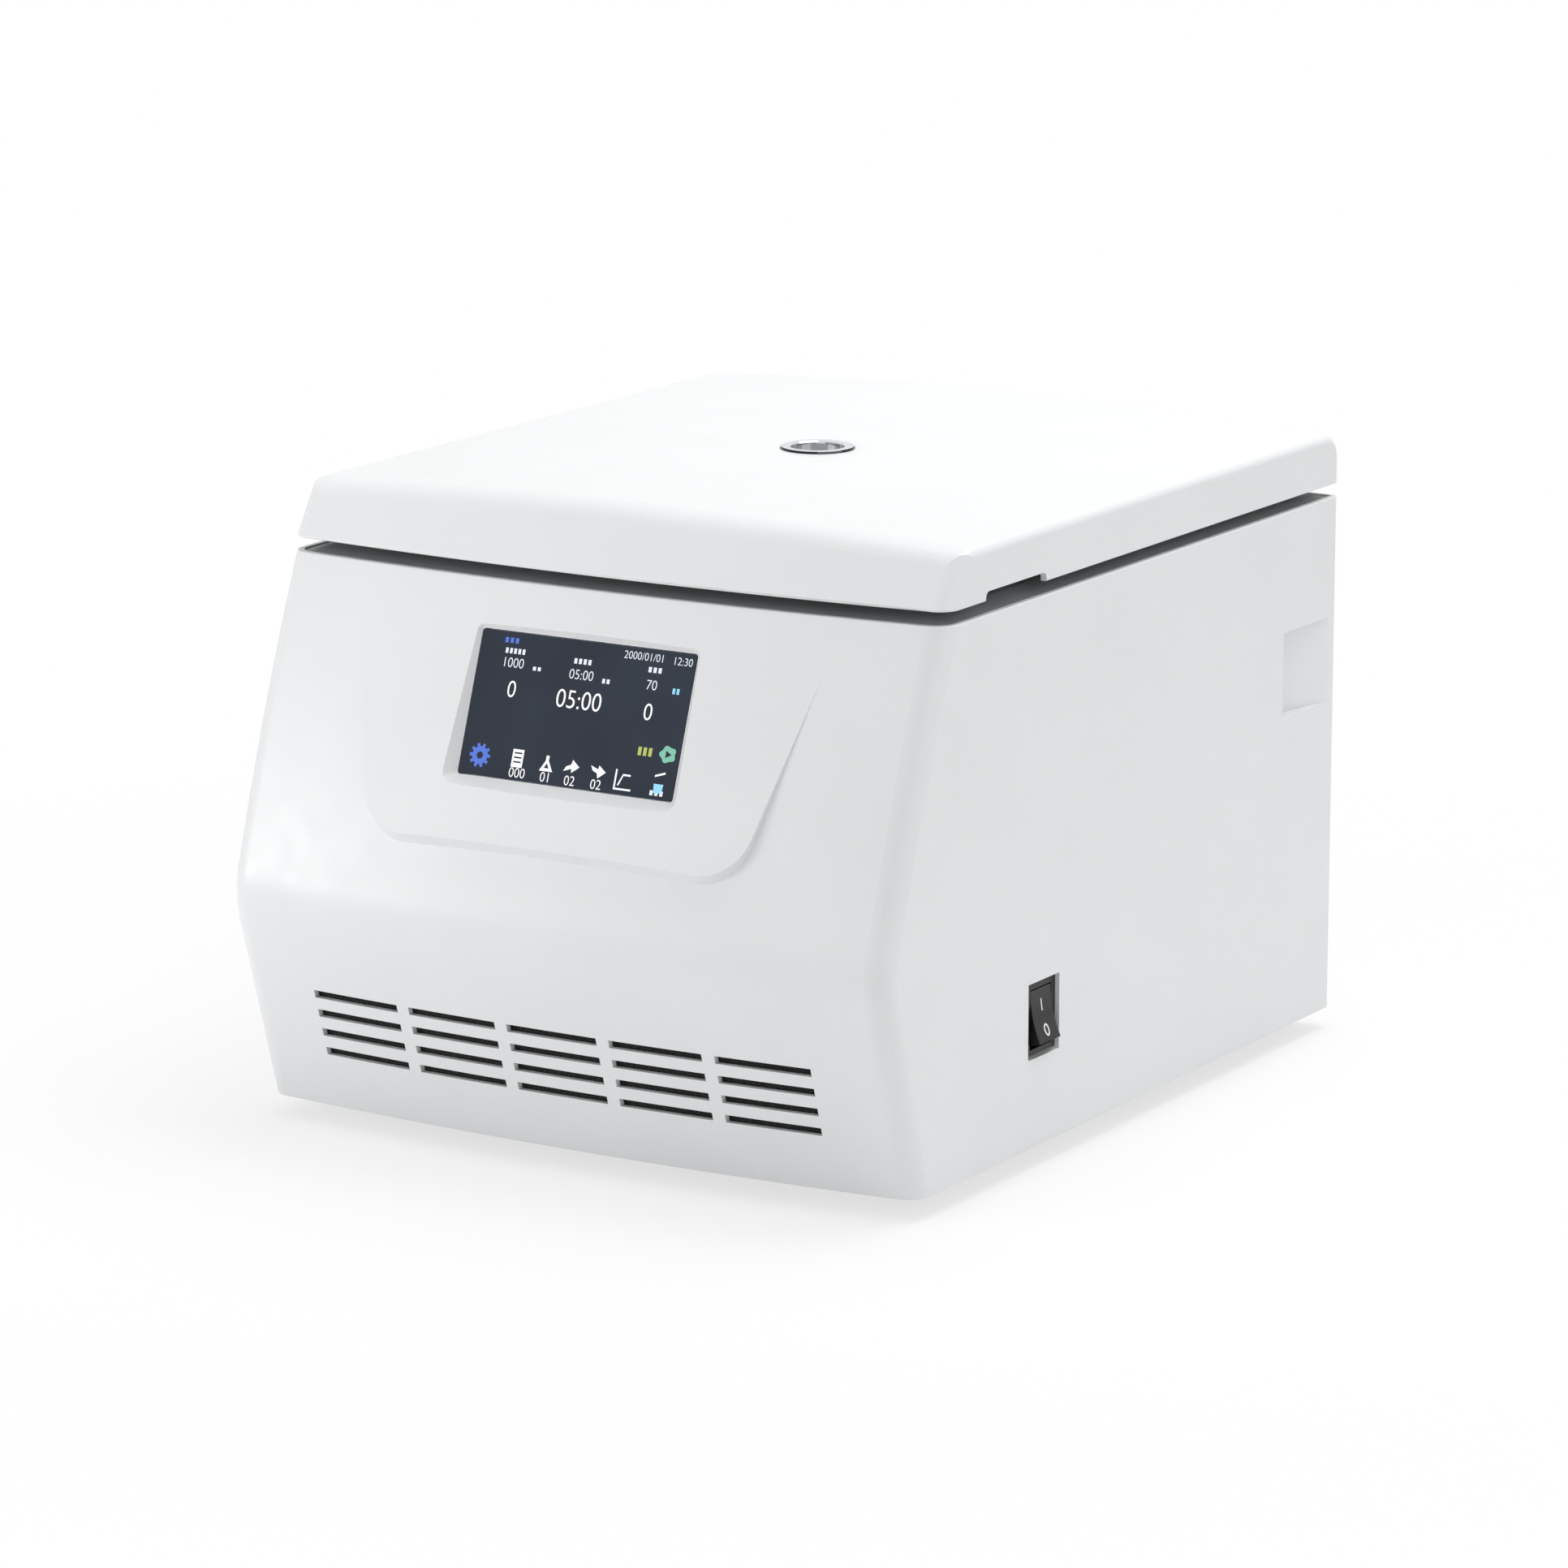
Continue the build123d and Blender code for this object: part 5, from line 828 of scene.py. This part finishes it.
class CYTO_OT_electrics(bpy.types.Operator):
    """Finish the rear panel, the fan, the inlet, the boards and the filter"""

    bl_idname = "cyto.electrics"
    bl_label = "Rear panel and electrics"

    def execute(self, context):
        colours = context.scene.cyto_finish
        dress(["rear_panel"], powder_coat(colours.paint))
        dress(["fan_frame", "fan_impeller", "power_inlet", "fuse_drawer"],
              glossy_pbt("fan_pbt_moulded", colours.switch, 0.45))
        dress(["fan_guard"], chrome_wire())
        dress(["control_board", "power_board"], circuit_board(colours.solder_mask))
        dress(["display_module"], pressed_case())
        dress(["vent_filter"], filter_foam())
        return {"FINISHED"}


# ---------------------------------------------------------------- studio
def paper_floor(colour, glow):
    """Matt paper: it takes the object's shadow, and melts into the white room further out."""
    material, tree, shader = surface("paper_matt", {"Roughness": 0.9, "IOR": 1.3})
    tree.links.new(tinted(tree, noise(tree, 300.0), colour, 0.995), shader.inputs["Base Color"])
    place = add_node(tree, "ShaderNodeTexCoord").outputs["Object"]
    radius = add_node(tree, "ShaderNodeVectorMath", {0: place}, operation="LENGTH")
    fade = add_node(
        tree, "ShaderNodeMapRange",
        {"Value": radius.outputs["Value"], "From Min": FADE_FROM, "From Max": FADE_TO, "To Min": glow},
        interpolation_type="SMOOTHSTEP",
    )
    camera = add_node(tree, "ShaderNodeLightPath").outputs["Is Camera Ray"]
    share = add_node(tree, "ShaderNodeMath", {0: fade.outputs["Result"], 1: camera}, operation="MULTIPLY")
    white = add_node(tree, "ShaderNodeEmission", {"Color": linear("#FFFFFF"), "Strength": 1.0})
    mixed = add_node(
        tree, "ShaderNodeMixShader",
        {0: share.outputs["Value"], 1: shader.outputs["BSDF"], 2: white.outputs["Emission"]},
    )
    tree.links.new(mixed.outputs["Shader"], tree.nodes["Material Output"].inputs["Surface"])
    return material


def white_room(strength):
    """World that lights the object at a strength, and is white to the camera, gloss and glass."""
    world = bpy.data.worlds.new("white_room")
    world.use_nodes = True
    tree = world.node_tree
    tree.nodes.clear()
    paths = add_node(tree, "ShaderNodeLightPath").outputs
    seen = paths["Is Camera Ray"]
    for kind in ("Is Glossy Ray", "Is Transmission Ray"):
        either = add_node(tree, "ShaderNodeMath", {0: seen, 1: paths[kind]}, operation="MAXIMUM")
        seen = either.outputs["Value"]
    level = between(tree, seen, strength, 1.0, 0.0, 1.0)
    light = add_node(tree, "ShaderNodeBackground", {"Color": linear("#FFFFFF"), "Strength": level})
    add_node(tree, "ShaderNodeOutputWorld", {"Surface": light.outputs["Background"]})
    return world


def softbox(name, place, aim, size, power):
    """Square area lamp at a place, turned towards a point."""
    lamp = bpy.data.lights.new(name, "AREA")
    lamp.size = size
    lamp.energy = power
    holder = bpy.data.objects.new(name, lamp)
    holder.location = place
    holder.rotation_euler = (aim - place).to_track_quat("-Z", "Y").to_euler()
    bpy.context.scene.collection.objects.link(holder)


class CYTO_OT_studio(bpy.types.Operator):
    """Set up the pale floor, the soft lamps and the camera"""

    bl_idname = "cyto.studio"
    bl_label = "Studio"

    def execute(self, context):
        studio = context.scene.cyto_studio
        mesh = bpy.data.meshes.new("floor")
        disc = bmesh.new()
        bmesh.ops.create_circle(disc, cap_ends=True, segments=96, radius=FLOOR_RADIUS)
        disc.to_mesh(mesh)
        disc.free()
        mesh.materials.append(paper_floor(studio.floor, studio.glow))
        floor = bpy.data.objects.new("floor", mesh)
        context.scene.collection.objects.link(floor)

        context.scene.world = white_room(studio.sky)
        middle = (HOUSING_LOW + HOUSING_HIGH) / 2
        for name, (away, width) in LAMPS.items():
            softbox(name + "_lamp", middle + Vector(away), middle, width, getattr(studio, name))

        lens = bpy.data.cameras.new("camera")
        lens.lens = studio.lens
        lens.sensor_width = SENSOR_WIDTH
        camera = bpy.data.objects.new("camera", lens)
        flat = math.cos(studio.elevation)
        back = Vector((math.sin(studio.azimuth) * flat, -math.cos(studio.azimuth) * flat,
                       math.sin(studio.elevation)))
        camera.location = Vector(studio.target) + back * studio.distance
        camera.rotation_euler = (-back).to_track_quat("-Z", "Y").to_euler()
        context.scene.collection.objects.link(camera)
        context.scene.camera = camera
        context.scene.view_settings.view_transform = "Standard"
        return {"FINISHED"}


OPERATORS = (CYTO_OT_housing, CYTO_OT_chamber, CYTO_OT_drive, CYTO_OT_hardware, CYTO_OT_electrics,
             CYTO_OT_screen, CYTO_OT_switch, CYTO_OT_studio)


class CYTO_PT_sidebar(bpy.types.Panel):
    """Lists the steps that dress the cytocentrifuge"""

    bl_label = "Cytocentrifuge"
    bl_idname = "CYTO_PT_sidebar"
    bl_space_type = "VIEW_3D"
    bl_region_type = "UI"
    bl_category = "Cytocentrifuge"

    def draw(self, context):
        for operator in OPERATORS:
            self.layout.operator(operator.bl_idname)
        for name in SETTINGS:
            box = self.layout.box()
            group = getattr(context.scene, name)
            for key in group.__annotations__:
                box.prop(group, key)


def register():
    """Add the classes and their settings to Blender."""
    for cls in (*SETTINGS.values(), *OPERATORS, CYTO_PT_sidebar):
        bpy.utils.register_class(cls)
    for name, group in SETTINGS.items():
        setattr(bpy.types.Scene, name, bpy.props.PointerProperty(type=group))


def unregister():
    """Take them out again."""
    for name in SETTINGS:
        delattr(bpy.types.Scene, name)
    for cls in reversed((*SETTINGS.values(), *OPERATORS, CYTO_PT_sidebar)):
        bpy.utils.unregister_class(cls)


def main():
    """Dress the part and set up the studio."""
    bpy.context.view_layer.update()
    register()
    for operator in OPERATORS:
        group, name = operator.bl_idname.split(".")
        getattr(getattr(bpy.ops, group), name)()


if __name__ == "__main__":
    main()
